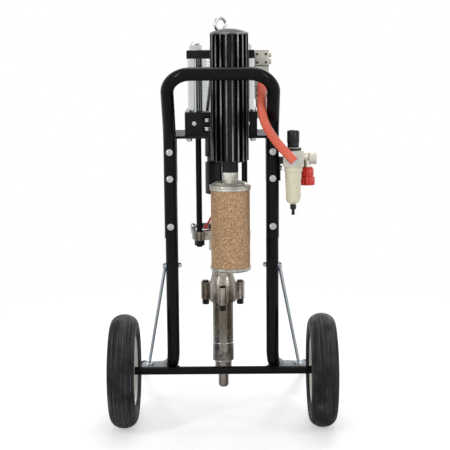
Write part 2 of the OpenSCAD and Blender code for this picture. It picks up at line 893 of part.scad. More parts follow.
module finned_column() {
    pad_y = column_flat - column_y;
    at_column(column_z) color([0.05, 0.05, 0.055]) linear_extrude(column_len) difference() {
        intersection() {
            union() {
                circle(d = column_core_d);
                for (i = [0:fins - 1])
                    rotate([0, 0, 360 * (i + 0.5) / fins])
                        translate([0, -fin_t / 2]) square([column_d / 2 + 1, fin_t]);
                translate([-rail_w / 2 - 3, 0]) square([rail_w + 6, pad_y]);
            }
            circle(d = column_d, $fn = 96);
            translate([-column_d, -column_d]) square([2 * column_d, column_d + pad_y]);
        }
        circle(d = column_bore);
    }
}

module column_cap() {
    rim_h = 4;
    rise = dome_h - rim_h;
    dome_r = (pow(column_d / 2, 2) + rise * rise) / (2 * rise);
    at_column(column_top) color([0.13, 0.13, 0.135]) intersection() {
        union() {
            cylinder(d = column_d, h = rim_h);
            translate([0, 0, rim_h]) rotate_extrude($fn = 96) intersection() {
                translate([0, rise - dome_r]) circle(r = dome_r, $fn = 360);
                square([column_d / 2, rise]);
            }
        }
        translate([-column_d, -column_d, -1])
            cube([2 * column_d, column_d + column_flat - column_y, dome_h + 2]);
    }
}

module column_base() {
    flange = 5;
    at_column(neck_z) color([0.04, 0.04, 0.045]) difference() {
        union() {
            cylinder(d = column_neck_d, h = column_neck_h);
            translate([0, 0, column_neck_h - flange]) cylinder(d = column_core_d, h = flange);
        }
        translate([0, 0, -1]) cylinder(d = exhaust_bore, h = column_neck_h + 2);
    }
}

module column_bracket() {
    low = base_z + 8;
    high = motor_top - 2;
    rail_y = column_flat + rail_t;
    bridge_inset = 13;
    cart() translate([column_x - rail_w / 2, 0, 0]) color([0.08, 0.08, 0.085]) {
        translate([0, column_flat, low]) cube([rail_w, rail_t, high - low]);
        translate([0, rail_y - 1, low + 10])
            cube([rail_w, motor_y - base_w / 2 - rail_y + 1, base_h - 2 * bridge_inset]);
        translate([0, rail_y - 1, cylinder_top + 2])
            cube([rail_w, motor_y - top_w / 2 - rail_y + 1, top_t - 4]);
    }
}

module silencer_top_cap() {
    cap_r = silencer_cap_d / 2;
    sleeve_r = sleeve_d / 2;
    hex_r = silencer_hex / 2;
    skirt = silencer_top - sleeve_top;
    wall = 4;
    section = [
        [exhaust_bore / 2, 0], [hex_r, 0], [hex_r + 18, -3], [sleeve_r - 5, -9], [cap_r, -skirt + 12],
        [cap_r, -skirt - lip], [sleeve_r, -skirt - lip], [sleeve_r, -skirt], [sleeve_r - 2 * wall, -skirt],
        [sleeve_r - 2 * wall, -skirt + 6], [hex_r, -3 - wall], [exhaust_bore / 2, -3 - wall]
    ];
    at_column(silencer_top) color([0.72, 0.7, 0.65]) {
        rotate_extrude($fn = 96) polygon(section);
        difference() {
            hex(silencer_hex, hex_h);
            translate([0, 0, -1]) cylinder(d = exhaust_bore, h = hex_h + 2);
        }
    }
}

module silencer_sleeve() {
    at_column(sleeve_z) color([0.78, 0.62, 0.45])
        ring(sleeve_d, sleeve_d - 2 * sleeve_wall, sleeve_h, $fn = 96);
}

module silencer_bottom_cap() {
    floor_t = 9;
    at_column(sleeve_z - floor_t) color([0.72, 0.7, 0.65]) difference() {
        union() {
            cylinder(d1 = sleeve_d - 6, d2 = silencer_cap_d - 2, h = 3, $fn = 96);
            translate([0, 0, 3]) cylinder(d = silencer_cap_d - 2, h = floor_t - 3 + lip, $fn = 96);
        }
        translate([0, 0, floor_t]) cylinder(d = sleeve_d, h = lip + 1, $fn = 96);
    }
}

// Pump

module pump_tie_rods() {
    low = lug_z - tie_nut_h - 4;
    at_motor(low) color([0.06, 0.06, 0.065])
        for (p = pump_ties) translate(p) cylinder(d = pump_tie_d, h = base_z + thread_depth - low);
}

// An arm from the axis of the pump out to a round end
module arm(x, y, r, width, h) {
    a = atan2(y, x);
    reach = norm([x, y]);
    rotate([0, 0, a]) {
        translate([0, -width / 2, 0]) cube([reach, width, h]);
        translate([reach, 0, 0]) cylinder(r = r, h = h);
    }
}

module lobes(h) {
    for (a = lobe_angles) arm(lobe_x * cos(a), lobe_x * sin(a), lobe_r, 1.6 * lobe_r, h);
}

module lobe_holes(h) {
    for (a = lobe_angles)
        translate([lobe_x * cos(a), lobe_x * sin(a), -1]) cylinder(d = lobe_bolt_d + bolt_play, h = h + 2);
}

module pump_housing() {
    at_motor() color([0.5, 0.5, 0.48]) difference() {
        union() {
            translate([0, 0, cone_top]) cylinder(d = housing_d, h = housing_top - cone_top);
            translate([0, 0, cone_bottom]) cylinder(r1 = waist_r, r2 = cone_r, h = cone_top - cone_bottom);
            translate([0, 0, housing_bottom]) cylinder(r = waist_r, h = lobe_h);
            translate([0, 0, housing_bottom]) lobes(lobe_h);
            for (p = pump_ties)
                translate([0, 0, lug_z]) arm(p[0], p[1], pump_tie_d / 2 + lug_wall, lug_w, lug_t);
        }
        difference() {
            translate([0, 0, cone_top - 5]) cylinder(r = housing_d, h = waist_h + 5);
            translate([0, 0, cone_top - 6]) cylinder(r = cone_r, h = waist_h + 10);
        }
        translate([0, 0, housing_bottom - 1]) cylinder(d = chamber_d, h = lobe_h + 12);
        translate([0, 0, housing_bottom]) cylinder(d = pump_rod_d + 14, h = housing_top - housing_bottom - 12);
        translate([0, 0, housing_bottom]) cylinder(d = pump_rod_d + 2 * free_gap, h = housing_top);
        for (p = pump_ties) translate([p[0], p[1], lug_z - 1]) cylinder(d = pump_tie_d, h = lug_t + 2);
        translate([0, 0, housing_bottom]) lobe_holes(lobe_h);
        translate([0, 0, bypass_z]) rotate([0, -90, 0]) cylinder(d = 8, h = housing_d);
        translate([0, 0, lug_z - outlet_drop]) rotate([0, 90, 0]) cylinder(d = 12, h = housing_d);
    }
}

module pump_cylinder() {
    flange_z = housing_bottom - lobe_flange_t;
    register = 0.5;
    at_motor() color([0.6, 0.59, 0.56]) difference() {
        union() {
            translate([0, 0, cylinder_z]) cylinder(d = pump_cylinder_d, h = pump_cylinder_h + 1);
            translate([0, 0, flange_z]) cylinder(r = waist_r, h = lobe_flange_t);
            translate([0, 0, flange_z]) lobes(lobe_flange_t - register);
        }
        translate([0, 0, cylinder_z - 1]) cylinder(d = chamber_d, h = housing_bottom - cylinder_z + 2);
        translate([0, 0, flange_z]) lobe_holes(lobe_flange_t);
    }
}

module pump_fasteners() {
    flange_z = housing_bottom - lobe_flange_t;
    at_motor() color([0.3, 0.3, 0.31]) {
        for (p = pump_ties)
            translate([p[0], p[1], lug_z - tie_nut_h]) difference() {
                hex(pump_tie_d * 1.5, tie_nut_h);
                translate([0, 0, -1]) cylinder(d = pump_tie_d, h = tie_nut_h + 2);
            }
        for (a = lobe_angles)
            translate([lobe_x * cos(a), lobe_x * sin(a), flange_z - lobe_nut_h]) {
                hex(lobe_bolt_d * 1.6, lobe_nut_h);
                cylinder(d = lobe_bolt_d, h = lobe_nut_h + lobe_flange_t + lobe_h + 4);
                translate([0, 0, lobe_nut_h + lobe_flange_t + lobe_h]) cylinder(d = lobe_bolt_d * 1.6, h = 4);
            }
        translate([0, 0, housing_top]) difference() {
            hex(50, packing_h);
            translate([0, 0, -1]) cylinder(d = pump_rod_d + 2 * free_gap, h = packing_h + 2);
        }
    }
}

module foot_valve() {
    cage_d = ball_d + 4;
    cage_top = ball_z + ball_d / 2 + ball_lift + 2;
    at_motor() color([0.55, 0.54, 0.51]) difference() {
        union() {
            translate([0, 0, foot_valve_z]) cylinder(d = foot_valve_d, h = foot_valve_h);
            translate([0, 0, cylinder_z - 1]) cylinder(d = chamber_d, h = spigot_h + 1);
        }
        translate([0, 0, foot_valve_z - 1]) cylinder(d = seat_d, h = foot_valve_h + spigot_h + 2);
        translate([0, 0, seat_z]) cylinder(d = cage_d, h = cage_top - seat_z);
    }
}

module intake_ball() {
    at_motor(ball_z) color([0.8, 0.8, 0.82]) sphere(d = ball_d);
}

module suction_stub() {
    round_r = 10;
    at_motor() color([0.5, 0.49, 0.46]) difference() {
        union() {
            translate([0, 0, suction_nut_z]) cylinder(d = foot_valve_d - 14, h = suction_nut_h);
            translate([0, 0, suction_z + round_r]) cylinder(d = suction_d, h = suction_len - round_r + 1);
            translate([0, 0, suction_z]) rotate_extrude() {
                square([suction_d / 2 - round_r, round_r + 1]);
                intersection() {
                    translate([suction_d / 2 - round_r, round_r]) circle(r = round_r);
                    square([suction_d / 2, round_r + 1]);
                }
            }
        }
        translate([0, 0, suction_z - 1]) cylinder(d = suction_bore, h = suction_len + suction_nut_h + 2);
    }
}

module fluid_outlet() {
    reach = 40;
    bore = 10;
    at_motor(lug_z - outlet_drop) color([0.65, 0.65, 0.66])
        translate([housing_d / 2, 0, 0]) along_x() difference() {
        union() {
            cylinder(d = outlet_d, h = reach);
            translate([0, 0, 8]) hex(outlet_d + 2, 12);
        }
        translate([0, 0, -1]) cylinder(d = bore, h = reach + 2);
    }
}

module bypass_valve() {
    elbow_x = bypass_x - 48;
    drop = 42;
    at_motor(bypass_z) color([0.6, 0.61, 0.62]) {
        translate([bypass_x - 22, 0, 0]) along_x() cylinder(d = 22, h = 22);
        translate([elbow_x, 0, 0]) along_x() cylinder(d = 12, h = -elbow_x + bypass_x - 20);
        translate([elbow_x, 0, 0]) sphere(d = 20);
        translate([elbow_x, 0, -drop]) cylinder(d1 = 8, d2 = 12, h = drop);
        translate([elbow_x, 0, -22]) cylinder(d = 16, h = 22);
        translate([lever_x, -12, 0]) along_y() cylinder(d = 14, h = 12);
    }
}

module bypass_lever() {
    lever_t = 4;
    stem_d = 6;
    cart() translate([lever_x, 0, bypass_z]) color([0.8, 0.12, 0.1]) {
        translate([0, lever_y, 0]) along_y() cylinder(d = 12, h = motor_y - 12 - free_gap - lever_y);
        translate([0, lever_y, 0]) rotate([0, -lever_a, 0]) translate([0, 0, -stem_d / 2])
            cube([lever_len, lever_t, stem_d]);
    }
}

// Filter regulator

module at_regulator(z = 0) cart() translate([regulator_x, regulator_y, z]) children();

module regulator_body() {
    half = regulator_w / 2;
    spindle_d = 16;
    at_regulator() color([0.82, 0.81, 0.77]) difference() {
        union() {
            translate([-half, -half, regulator_z]) cube([regulator_w, regulator_w, regulator_h]);
            translate([0, 0, regulator_top - 1]) cylinder(d = regulator_w * 0.78, h = ring_h + 1);
            translate([0, 0, regulator_top + ring_h - 1]) cylinder(d = knob_d - 4, h = bonnet_h + 1);
            translate([0, 0, knob_z - 1]) cylinder(d = spindle_d, h = spindle_h + 1);
        }
        translate([0, -half - 1, port_z]) along_y() cylinder(d = 12, h = 20);
        translate([0, half - 19, port_z]) along_y() cylinder(d = 12, h = 20);
    }
}

module regulator_knob() {
    spindle_d = 16;
    at_regulator(knob_z + free_gap) color([0.05, 0.05, 0.055]) difference() {
        cylinder(d = knob_d, h = knob_h);
        translate([0, 0, -1]) cylinder(d = spindle_d + 2 * running, h = spindle_h + 1);
    }
}

module filter_bowl() {
    r = bowl_d / 2;
    collar = 15;
    taper = 4;
    section = [
        [0, 0], [r - 14, 0], [r - taper - 2, 7], [r - taper, 14],
        [r, bowl_h - collar], [r + 2, bowl_h - collar], [r + 2, bowl_h],
        [r - bowl_wall, bowl_h], [r - taper - bowl_wall, 16], [r - 16, bowl_wall + 3],
        [0, bowl_wall + 3]
    ];
    at_regulator(regulator_z - bowl_h) color([0.93, 0.89, 0.78]) difference() {
        rotate_extrude($fn = 96) polygon(section);
        translate([0, 0, -1]) cylinder(d = 8, h = 10);
    }
}

module drain_valve() {
    at_regulator(regulator_z - bowl_h) color([0.05, 0.05, 0.055]) {
        cylinder(d = 8 - 2 * free_gap, h = 8);
        translate([0, 0, -18]) cylinder(d = 18, h = 18 - free_gap);
        translate([0, 0, -18]) cylinder(d = 8 - 2 * free_gap, h = 20);
        translate([0, 0, -drain_h]) cylinder(d = 10, h = drain_h - 17);
    }
}

module at_gauge() {
    cart() translate([gauge_x, regulator_y, port_z]) along_x() children();
}

module gauge_case() {
    at_gauge() color([0.8, 0.79, 0.75]) difference() {
        union() {
            hex(14, gauge_stem + 1);
            translate([0, 0, gauge_stem]) cylinder(d = gauge_d, h = gauge_h);
        }
        translate([0, 0, gauge_stem + gauge_h / 2]) cylinder(d = gauge_d - 5, h = gauge_h);
        translate([0, 0, gauge_stem + gauge_h / 2 - 5]) cylinder(d = 3 + 2 * running, h = gauge_h);
    }
}

module gauge_needle() {
    z = gauge_stem + gauge_h / 2;
    at_gauge() color([0.1, 0.1, 0.1]) {
        translate([0, 0, z - 4.5]) cylinder(d = 3, h = 7.5);
        translate([0, 0, z + 1]) rotate([0, 0, 135]) translate([-4, -1, 0]) cube([4 + needle_len, 2, 1]);
    }
}

module regulator_bracket() {
    x = frame_width / 2 + tube_r;
    pad_w = 30;
    cart() color([0.75, 0.76, 0.77]) difference() {
        union() {
            translate([x, handle_y - pad_w / 2, bracket_low])
                cube([bracket_t, pad_w, bracket_high - bracket_low]);
            translate([x, handle_y - pad_w / 2, port_z - 18]) cube([bracket_gap, pad_w * 0.7, 20]);
        }
        translate([x - 1, handle_y, bracket_bolt_z]) along_x() cylinder(d = bracket_bolt_d, h = bracket_gap);
    }
}

// Hose and its fittings

function unit(v) = v / norm(v);

hose_start = hose_route[0];
hose_end = hose_route[len(hose_route) - 1];
end_dir = unit(port_point - hose_end);

// Catmull-Rom curve through the points of the route
function curve_point(a, b, c, d, t) = 0.5 * (2 * b + (c - a) * t + (2 * a - 5 * b + 4 * c - d) * t * t
    + (3 * b - a - 3 * c + d) * t * t * t);

function route_points(r) = let (
    n = len(r),
    ext = concat([r[0] + [0, 28, 7]], r, [r[n - 1] + 24 * end_dir])
) concat(
    [for (i = [1:n - 1], k = [0:hose_steps - 1])
        curve_point(ext[i - 1], ext[i], ext[i + 1], ext[i + 2], k / hose_steps)],
    [r[n - 1]]
);

function tangents(p) = [for (i = [0:len(p) - 1])
    i == 0 ? [0, -1, 0] : i == len(p) - 1 ? end_dir : unit(p[i + 1] - p[i - 1])];

function hose_ring(p, t, r) = let (
    u = unit(cross(t, [1, 0, 0])),
    v = cross(t, u)
) [for (k = [0:hose_sides - 1]) p + r * (cos(360 * k / hose_sides) * u + sin(360 * k / hose_sides) * v)];

module air_hose() {
    pts = route_points(hose_route);
    dirs = tangents(pts);
    m = len(pts);
    s = hose_sides;
    skin = [for (i = [0:m - 1]) each hose_ring(pts[i], dirs[i], hose_d / 2)];
    walls = [for (i = [0:m - 2], k = [0:s - 1]) let (a = i * s + k, b = i * s + (k + 1) % s)
        each [[a, b, b + s], [a, b + s, a + s]]];
    ends = [
        for (k = [1:s - 2]) [0, k + 1, k],
        for (k = [1:s - 2]) [(m - 1) * s, (m - 1) * s + k, (m - 1) * s + k + 1]
    ];
    cart() color([0.94, 0.42, 0.33]) polyhedron(points = skin, faces = concat(walls, ends), convexity = 6);
}

module hose_fittings() {
    ferrule = hose_d + 4;
    union_d = 24;
    step = hose_end - port_point;
    front = regulator_y - regulator_w / 2;
    cart() color([0.72, 0.72, 0.73]) {
        translate([hose_start[0], hose_start[1], hose_start[2]]) along_y() {
            cylinder(d = ferrule, h = 18);
            cylinder(d = 14, h = valve_y - hose_start[1]);
            translate([0, 0, 17]) hex(24, valve_y - hose_start[1] - 17);
        }
        translate([port_point[0], port_point[1] - 14, port_z]) along_y()
            cylinder(d = union_d, h = front - port_point[1] + 14);
        translate(port_point) rotate([0, atan2(step[0], step[2]), 0]) cylinder(d = ferrule, h = norm(step));
    }
}

// Air inlet with its shut-off valve

module inlet_valve() {
    back = regulator_y + regulator_w / 2;
    bore = 12;
    cart() color([0.8, 0.8, 0.78]) difference() {
        union() {
            translate([regulator_x, back, port_z]) along_y() cylinder(d = 20, h = inlet_y - back);
            translate([regulator_x - 14, inlet_y, port_z]) along_x()
                cylinder(d = inlet_d, h = inlet_x - regulator_x + 32);
            translate([inlet_x, inlet_y, port_z - inlet_bonnet_h]) cylinder(d = 24, h = inlet_bonnet_h);
            translate([inlet_x, inlet_y, inlet_knob_z - 14]) cylinder(d = 10, h = 24);
            translate([inlet_x, inlet_y, port_z]) along_y() cylinder(d = 20, h = inlet_reach);
            translate([inlet_x, inlet_y + 18, port_z]) along_y() hex(28, 14);
        }
        translate([inlet_x, inlet_y + 4, port_z]) along_y() cylinder(d = bore, h = inlet_reach);
    }
}

module inlet_knob() {
    upper = 30;
    cart() translate([inlet_x, inlet_y, inlet_knob_z]) color([0.88, 0.16, 0.12]) difference() {
        union() {
            translate([0, 0, -upper]) cylinder(d = inlet_knob_d, h = upper);
            translate([0, 0, -inlet_knob_h]) cylinder(d = inlet_knob_d - 10, h = inlet_knob_h - upper + 1);
        }
        translate([0, 0, -16]) cylinder(d = 10 + 2 * running, h = 17);
    }
}

frame_tube_left();
frame_tube_right();
handle_tube();
frame_fasteners();
motor_plate();
axle_tube();
axle_rod();
leg_left();
leg_right();
brace_left();
brace_right();
foot_caps();
tyre_left();
rim_left();
bearings_left();
tyre_right();
rim_right();
bearings_right();
motor_base();
motor_cylinder();
motor_top_plate();
motor_tie_rods();
lifting_eye();
rod_guard();
motor_piston();
drive_rod();
rod_coupling();
pump_rod();
air_valve_body();
valve_end_caps();
valve_manifold();
valve_spool();
finned_column();
column_cap();
column_base();
column_bracket();
silencer_top_cap();
silencer_sleeve();
silencer_bottom_cap();
pump_tie_rods();
pump_housing();
pump_fasteners();
pump_cylinder();
foot_valve();
intake_ball();
suction_stub();
bypass_valve();
bypass_lever();
fluid_outlet();
regulator_body();
regulator_knob();
filter_bowl();
drain_valve();
gauge_case();
gauge_needle();
regulator_bracket();
hose_fittings();
air_hose();
inlet_valve();
inlet_knob();
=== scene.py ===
import json
import math

import bmesh
import bpy
from bpy.props import FloatProperty, FloatVectorProperty, IntProperty, PointerProperty
from mathutils import Matrix, Vector


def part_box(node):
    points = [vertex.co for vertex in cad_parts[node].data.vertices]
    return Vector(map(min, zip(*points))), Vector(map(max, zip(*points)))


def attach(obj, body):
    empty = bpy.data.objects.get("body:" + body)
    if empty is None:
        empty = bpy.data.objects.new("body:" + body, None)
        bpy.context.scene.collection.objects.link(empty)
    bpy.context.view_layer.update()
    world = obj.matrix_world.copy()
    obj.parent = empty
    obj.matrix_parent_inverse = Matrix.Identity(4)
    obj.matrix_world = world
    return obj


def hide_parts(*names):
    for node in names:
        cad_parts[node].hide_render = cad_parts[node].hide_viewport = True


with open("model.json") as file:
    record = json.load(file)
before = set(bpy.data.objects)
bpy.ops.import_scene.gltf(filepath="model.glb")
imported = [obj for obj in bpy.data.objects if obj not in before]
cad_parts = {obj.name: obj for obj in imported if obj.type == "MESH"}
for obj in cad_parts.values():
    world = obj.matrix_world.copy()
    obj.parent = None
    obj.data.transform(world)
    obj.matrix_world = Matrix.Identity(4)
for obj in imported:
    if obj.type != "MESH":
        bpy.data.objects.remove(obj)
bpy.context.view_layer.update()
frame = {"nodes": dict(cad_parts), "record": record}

bl_info = {
    "name": "Airless paint sprayer",
    "version": (1, 0, 0),
    "blender": (4, 5, 0),
    "location": "3D View > Sidebar > Sprayer",
    "description": "Dresses the packed model of a cart-mounted airless paint sprayer",
    "category": "Object",
}

MM = 0.001
FULL_TURN = 2 * math.pi
SIDES = ("left", "right")
AXES = {"X": Vector((1, 0, 0)), "Y": Vector((0, 1, 0)), "Z": Vector((0, 0, 1))}


# Places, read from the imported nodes


def middle(node):
    """Centre of a node's box."""
    low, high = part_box(node)
    return (low + high) / 2


AXLE = middle("axle_rod")


def cart(x, y, z):
    """A point given in millimetres from the floor under the middle of the axle."""
    return Vector((x * MM, AXLE.y + y * MM, z * MM))


def at(node, x=0.0, y=0.0, z=0.0):
    """A corner, a face centre or the middle of a node's box, each share from -1 to 1."""
    low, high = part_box(node)
    half = (high - low) / 2
    return (low + high) / 2 + Vector((half.x * x, half.y * y, half.z * z))


# Sizes and colours that a user would change


def colour(name, text, default):
    return FloatVectorProperty(
        name=name, description=text, default=default, min=0.0, max=1.0, subtype="COLOR"
    )


def length(name, text, default, low, high):
    return FloatProperty(
        name=name, description=text, default=default, min=low, max=high, unit="LENGTH", precision=4
    )


class SprayerColours(bpy.types.PropertyGroup):
    """Colours of the finishes"""

    powder: colour("Powder coat", "Gloss black of the cart's tubes", (0.006, 0.006, 0.007))
    plate: colour("Plate", "Dark satin paint of the motor plate and brackets", (0.022, 0.027, 0.026))
    casting: colour("Motor castings", "Dark textured paint of the motor's end plates", (0.016, 0.017, 0.018))
    galvanised: colour("Galvanised", "Legs and braces", (0.27, 0.32, 0.36))
    zinc: colour("Zinc plate", "Bolts, nuts and axle", (0.46, 0.47, 0.48))
    steel: colour("Polished steel", "Motor cylinder, tie rods and piston rods", (0.54, 0.55, 0.56))
    alloy: colour("Valve alloy", "Machined casting of the air valve", (0.74, 0.72, 0.64))
    anodised: colour("Anodised", "Finned exhaust column", (0.007, 0.007, 0.008))
    cap: colour("Silencer caps", "Cast caps of the silencer", (0.56, 0.54, 0.48))
    mesh: colour("Silencer mesh", "Bronze mesh round the silencer", (0.60, 0.36, 0.19))
    gunmetal: colour("Pump", "Plated iron of the fluid pump", (0.30, 0.28, 0.245))
    rubber: colour("Tyres", "Black rubber", (0.012, 0.012, 0.013))
    rim: colour("Rims", "Off-white enamel", (0.84, 0.82, 0.76))
    hose: colour("Air hose", "Coral cover of the air hose", (0.93, 0.17, 0.10))
    red: colour("Red plastic", "Inlet valve's knob and bypass lever", (0.80, 0.035, 0.018))
    bowl: colour("Filter bowl", "Cream bowl of the filter", (0.95, 0.88, 0.66))
    plastic: colour("Black plastic", "Knobs, caps and feet", (0.010, 0.010, 0.011))
    brass: colour("Plated brass", "Inlet valve and fittings", (0.66, 0.58, 0.40))


class SprayerSizes(bpy.types.PropertyGroup):
    """Sizes of the details"""

    tread_ribs: IntProperty(
        name="Tread ribs", description="Ribs across each tyre's tread", default=15, min=5, max=25
    )
    rib_depth: length("Rib depth", "Depth of the tread's grooves", 0.0012, 0.0004, 0.003)
    hose_radius: length("Hose radius", "Outer radius of the air hose", 0.013, 0.006, 0.014)
    edge_round: length("Edge rounding", "Radius on the edges of machined pieces", 0.0008, 0.0002, 0.002)
    bolt_dome: length("Bolt dome", "Height of the frame bolts' domed heads", 0.0062, 0.004, 0.009)
    knob_ribs: IntProperty(
        name="Knob ribs", description="Grip ribs round the pressure knob", default=22, min=8, max=40
    )


class SprayerStage(bpy.types.PropertyGroup):
    """Camera, lamps and floor"""

    camera_x: length("Camera across", "Camera's place to the right of the cart's middle", 0.030, -1.0, 1.0)
    camera_back: length("Camera back", "Camera's distance behind the cart's middle", 3.70, 1.0, 8.0)
    camera_z: length("Camera height", "Camera's height above the floor", 1.186, 0.2, 3.0)
    pitch: FloatProperty(
        name="Pitch", description="Camera's tilt below level", default=math.radians(9.1), subtype="ANGLE"
    )
    yaw: FloatProperty(
        name="Yaw", description="Camera's turn to the right", default=math.radians(-0.34), subtype="ANGLE"
    )
    roll: FloatProperty(
        name="Roll", description="Camera's roll", default=math.radians(-0.5), subtype="ANGLE"
    )
    lens: FloatProperty(name="Lens", description="Focal length in millimetres", default=93.4, min=20, max=200)
    key: FloatProperty(name="Key lamp", description="Power of the key lamp in watts", default=34.0, min=0)
    fill: FloatProperty(name="Fill lamp", description="Power of the fill lamp in watts", default=20.0, min=0)
    top: FloatProperty(name="Top lamp", description="Power of the top lamp in watts", default=22.0, min=0)
    floor: colour("Floor", "Colour of the floor", (0.86, 0.86, 0.86))


# Finishes


class Surface:
    """A node material while it is being put together."""

    def __init__(self, name, tint, roughness, metallic=0.0):
        self.material = bpy.data.materials.new(name)
        self.material.use_nodes = True
        self.nodes = self.material.node_tree.nodes
        self.links = self.material.node_tree.links
        self.shader = self.nodes["Principled BSDF"]
        self.tint = tuple(tint)
        self.set("Base Color", (*self.tint, 1.0))
        self.set("Roughness", roughness)
        self.set("Metallic", metallic)
        self.place = self.nodes.new("ShaderNodeTexCoord").outputs["Object"]
        self.normal = None

    def set(self, socket, value):
        self.shader.inputs[socket].default_value = value

    def join(self, value, socket):
        if hasattr(value, "links"):
            self.links.new(value, socket)
        else:
            socket.default_value = value

    def mapped(self, scale=(1, 1, 1), offset=(0, 0, 0)):
        """Object coordinates, moved and stretched."""
        node = self.nodes.new("ShaderNodeMapping")
        self.links.new(self.place, node.inputs["Vector"])
        node.inputs["Location"].default_value = [-o * s for o, s in zip(offset, scale)]
        node.inputs["Scale"].default_value = scale
        return node.outputs["Vector"]

    def noise(self, scale, detail=3.0, stretch=(1, 1, 1), offset=(0, 0, 0)):
        node = self.nodes.new("ShaderNodeTexNoise")
        self.links.new(self.mapped(stretch, offset), node.inputs["Vector"])
        node.inputs["Scale"].default_value = scale
        node.inputs["Detail"].default_value = detail
        return node.outputs["Fac"]

    def cells(self, scale):
        """A random shade in each cell of a Voronoi pattern."""
        node = self.nodes.new("ShaderNodeTexVoronoi")
        self.links.new(self.place, node.inputs["Vector"])
        node.inputs["Scale"].default_value = scale
        return node.outputs["Color"]

    def math(self, operation, a, b=0.0):
        node = self.nodes.new("ShaderNodeMath")
        node.operation = operation
        self.join(a, node.inputs[0])
        self.join(b, node.inputs[1])
        return node.outputs[0]

    def between(self, value, low, high, first=0.0, last=1.0):
        """A value taken smoothly from low..high to first..last."""
        node = self.nodes.new("ShaderNodeMapRange")
        node.interpolation_type = "SMOOTHSTEP"
        self.links.new(value, node.inputs["Value"])
        node.inputs["From Min"].default_value = low
        node.inputs["From Max"].default_value = high
        node.inputs["To Min"].default_value = first
        node.inputs["To Max"].default_value = last
        return node.outputs["Result"]

    def blend(self, share, first, second):
        """A colour between two, each a socket or a tint."""
        node = self.nodes.new("ShaderNodeMix")
        node.data_type = "RGBA"
        self.join(share, node.inputs["Factor"])
        for value, socket in ((first, node.inputs["A"]), (second, node.inputs["B"])):
            self.join(value if hasattr(value, "links") else (*value, 1.0), socket)
        return node.outputs["Result"]

    def shade(self, factor):
        """The tint made lighter or darker by a factor."""
        return tuple(min(1.0, c * factor) for c in self.tint)

    def paint(self, value):
        self.links.new(value, self.shader.inputs["Base Color"])
        return self

    def rough(self, value):
        self.links.new(value, self.shader.inputs["Roughness"])
        return self

    def bump(self, height, strength, depth):
        """Adds relief, on top of what is there already."""
        node = self.nodes.new("ShaderNodeBump")
        node.inputs["Strength"].default_value = strength
        node.inputs["Distance"].default_value = depth
        self.links.new(height, node.inputs["Height"])
        if self.normal:
            self.links.new(self.normal, node.inputs["Normal"])
        self.normal = node.outputs["Normal"]
        self.links.new(self.normal, self.shader.inputs["Normal"])
        return self

    def split(self, offset):
        """Object coordinates measured from a point, as three values."""
        node = self.nodes.new("ShaderNodeSeparateXYZ")
        self.links.new(self.mapped(offset=offset), node.inputs[0])
        return node.outputs

    def radius(self, centre):
        """Distance from a vertical axis."""
        x, y, _ = self.split(centre)
        squares = self.math("ADD", self.math("MULTIPLY", x, x), self.math("MULTIPLY", y, y))
        return self.math("SQRT", squares)


def powder_coat(name, hues):
    s = Surface(name, hues.powder, 0.2)
    dust = s.between(s.noise(26), 0.56, 0.78)
    s.paint(s.blend(s.math("MULTIPLY", dust, 0.3), s.tint, (0.016, 0.016, 0.018)))
    s.rough(s.between(s.noise(9), 0.3, 0.7, 0.1, 0.18))
    s.bump(s.noise(300, 2), 0.04, 0.0002)
    s.set("Specular IOR Level", 0.1)
    return s.material


def textured_paint(name, tint, roughness=0.42):
    s = Surface(name, tint, roughness)
    worn = s.between(s.noise(60), 0.6, 0.8)
    s.paint(s.blend(s.math("MULTIPLY", worn, 0.5), s.tint, s.shade(2.2)))
    s.rough(s.between(s.noise(40), 0.3, 0.7, roughness - 0.08, roughness + 0.1))
    s.bump(s.noise(1400, 2), 0.25, 0.0003)
    s.set("Specular IOR Level", 0.15)
    return s.material


def dark_plate(name, hues):
    return textured_paint(name, hues.plate)


def motor_paint(name, hues):
    return textured_paint(name, hues.casting, 0.38)


def galvanised(name, hues):
    s = Surface(name, hues.galvanised, 0.4, 0.75)
    spangle = s.cells(95)
    s.paint(s.blend(0.14, s.blend(s.noise(14), s.shade(0.85), s.shade(1.15)), spangle))
    s.rough(s.between(s.noise(120), 0.3, 0.7, 0.32, 0.5))
    s.bump(s.noise(300), 0.1, 0.0003)
    return s.material


def zinc_plate(name, hues):
    s = Surface(name, hues.zinc, 0.25, 1.0)
    s.paint(s.blend(s.noise(90), s.shade(0.82), s.shade(1.12)))
    s.rough(s.between(s.noise(160), 0.3, 0.7, 0.18, 0.34))
    s.bump(s.noise(700), 0.08, 0.0002)
    return s.material


def polished_steel(name, hues):
    s = Surface(name, hues.steel, 0.1, 1.0)
    lines = s.noise(30, 3, stretch=(1, 1, 60))
    s.paint(s.blend(s.noise(12), s.shade(0.9), s.shade(1.08)))
    s.rough(s.between(lines, 0.3, 0.7, 0.05, 0.16))
    s.bump(lines, 0.04, 0.0002)
    return s.material


def turned_alloy(name, hues):
    s = Surface(name, hues.steel, 0.3, 1.0)
    rings = s.noise(40, 2, stretch=(1, 1, 40))
    s.paint(s.blend(rings, s.shade(0.75), s.shade(0.95)))
    s.bump(rings, 0.08, 0.0002)
    return s.material


def valve_alloy(name, hues):
    s = Surface(name, hues.alloy, 0.45, 0.35)
    s.paint(s.blend(s.noise(70), s.shade(0.82), s.shade(1.15)))
    s.rough(s.between(s.noise(90), 0.3, 0.7, 0.34, 0.55))
    s.bump(s.noise(1100, 2), 0.2, 0.0003)
    return s.material


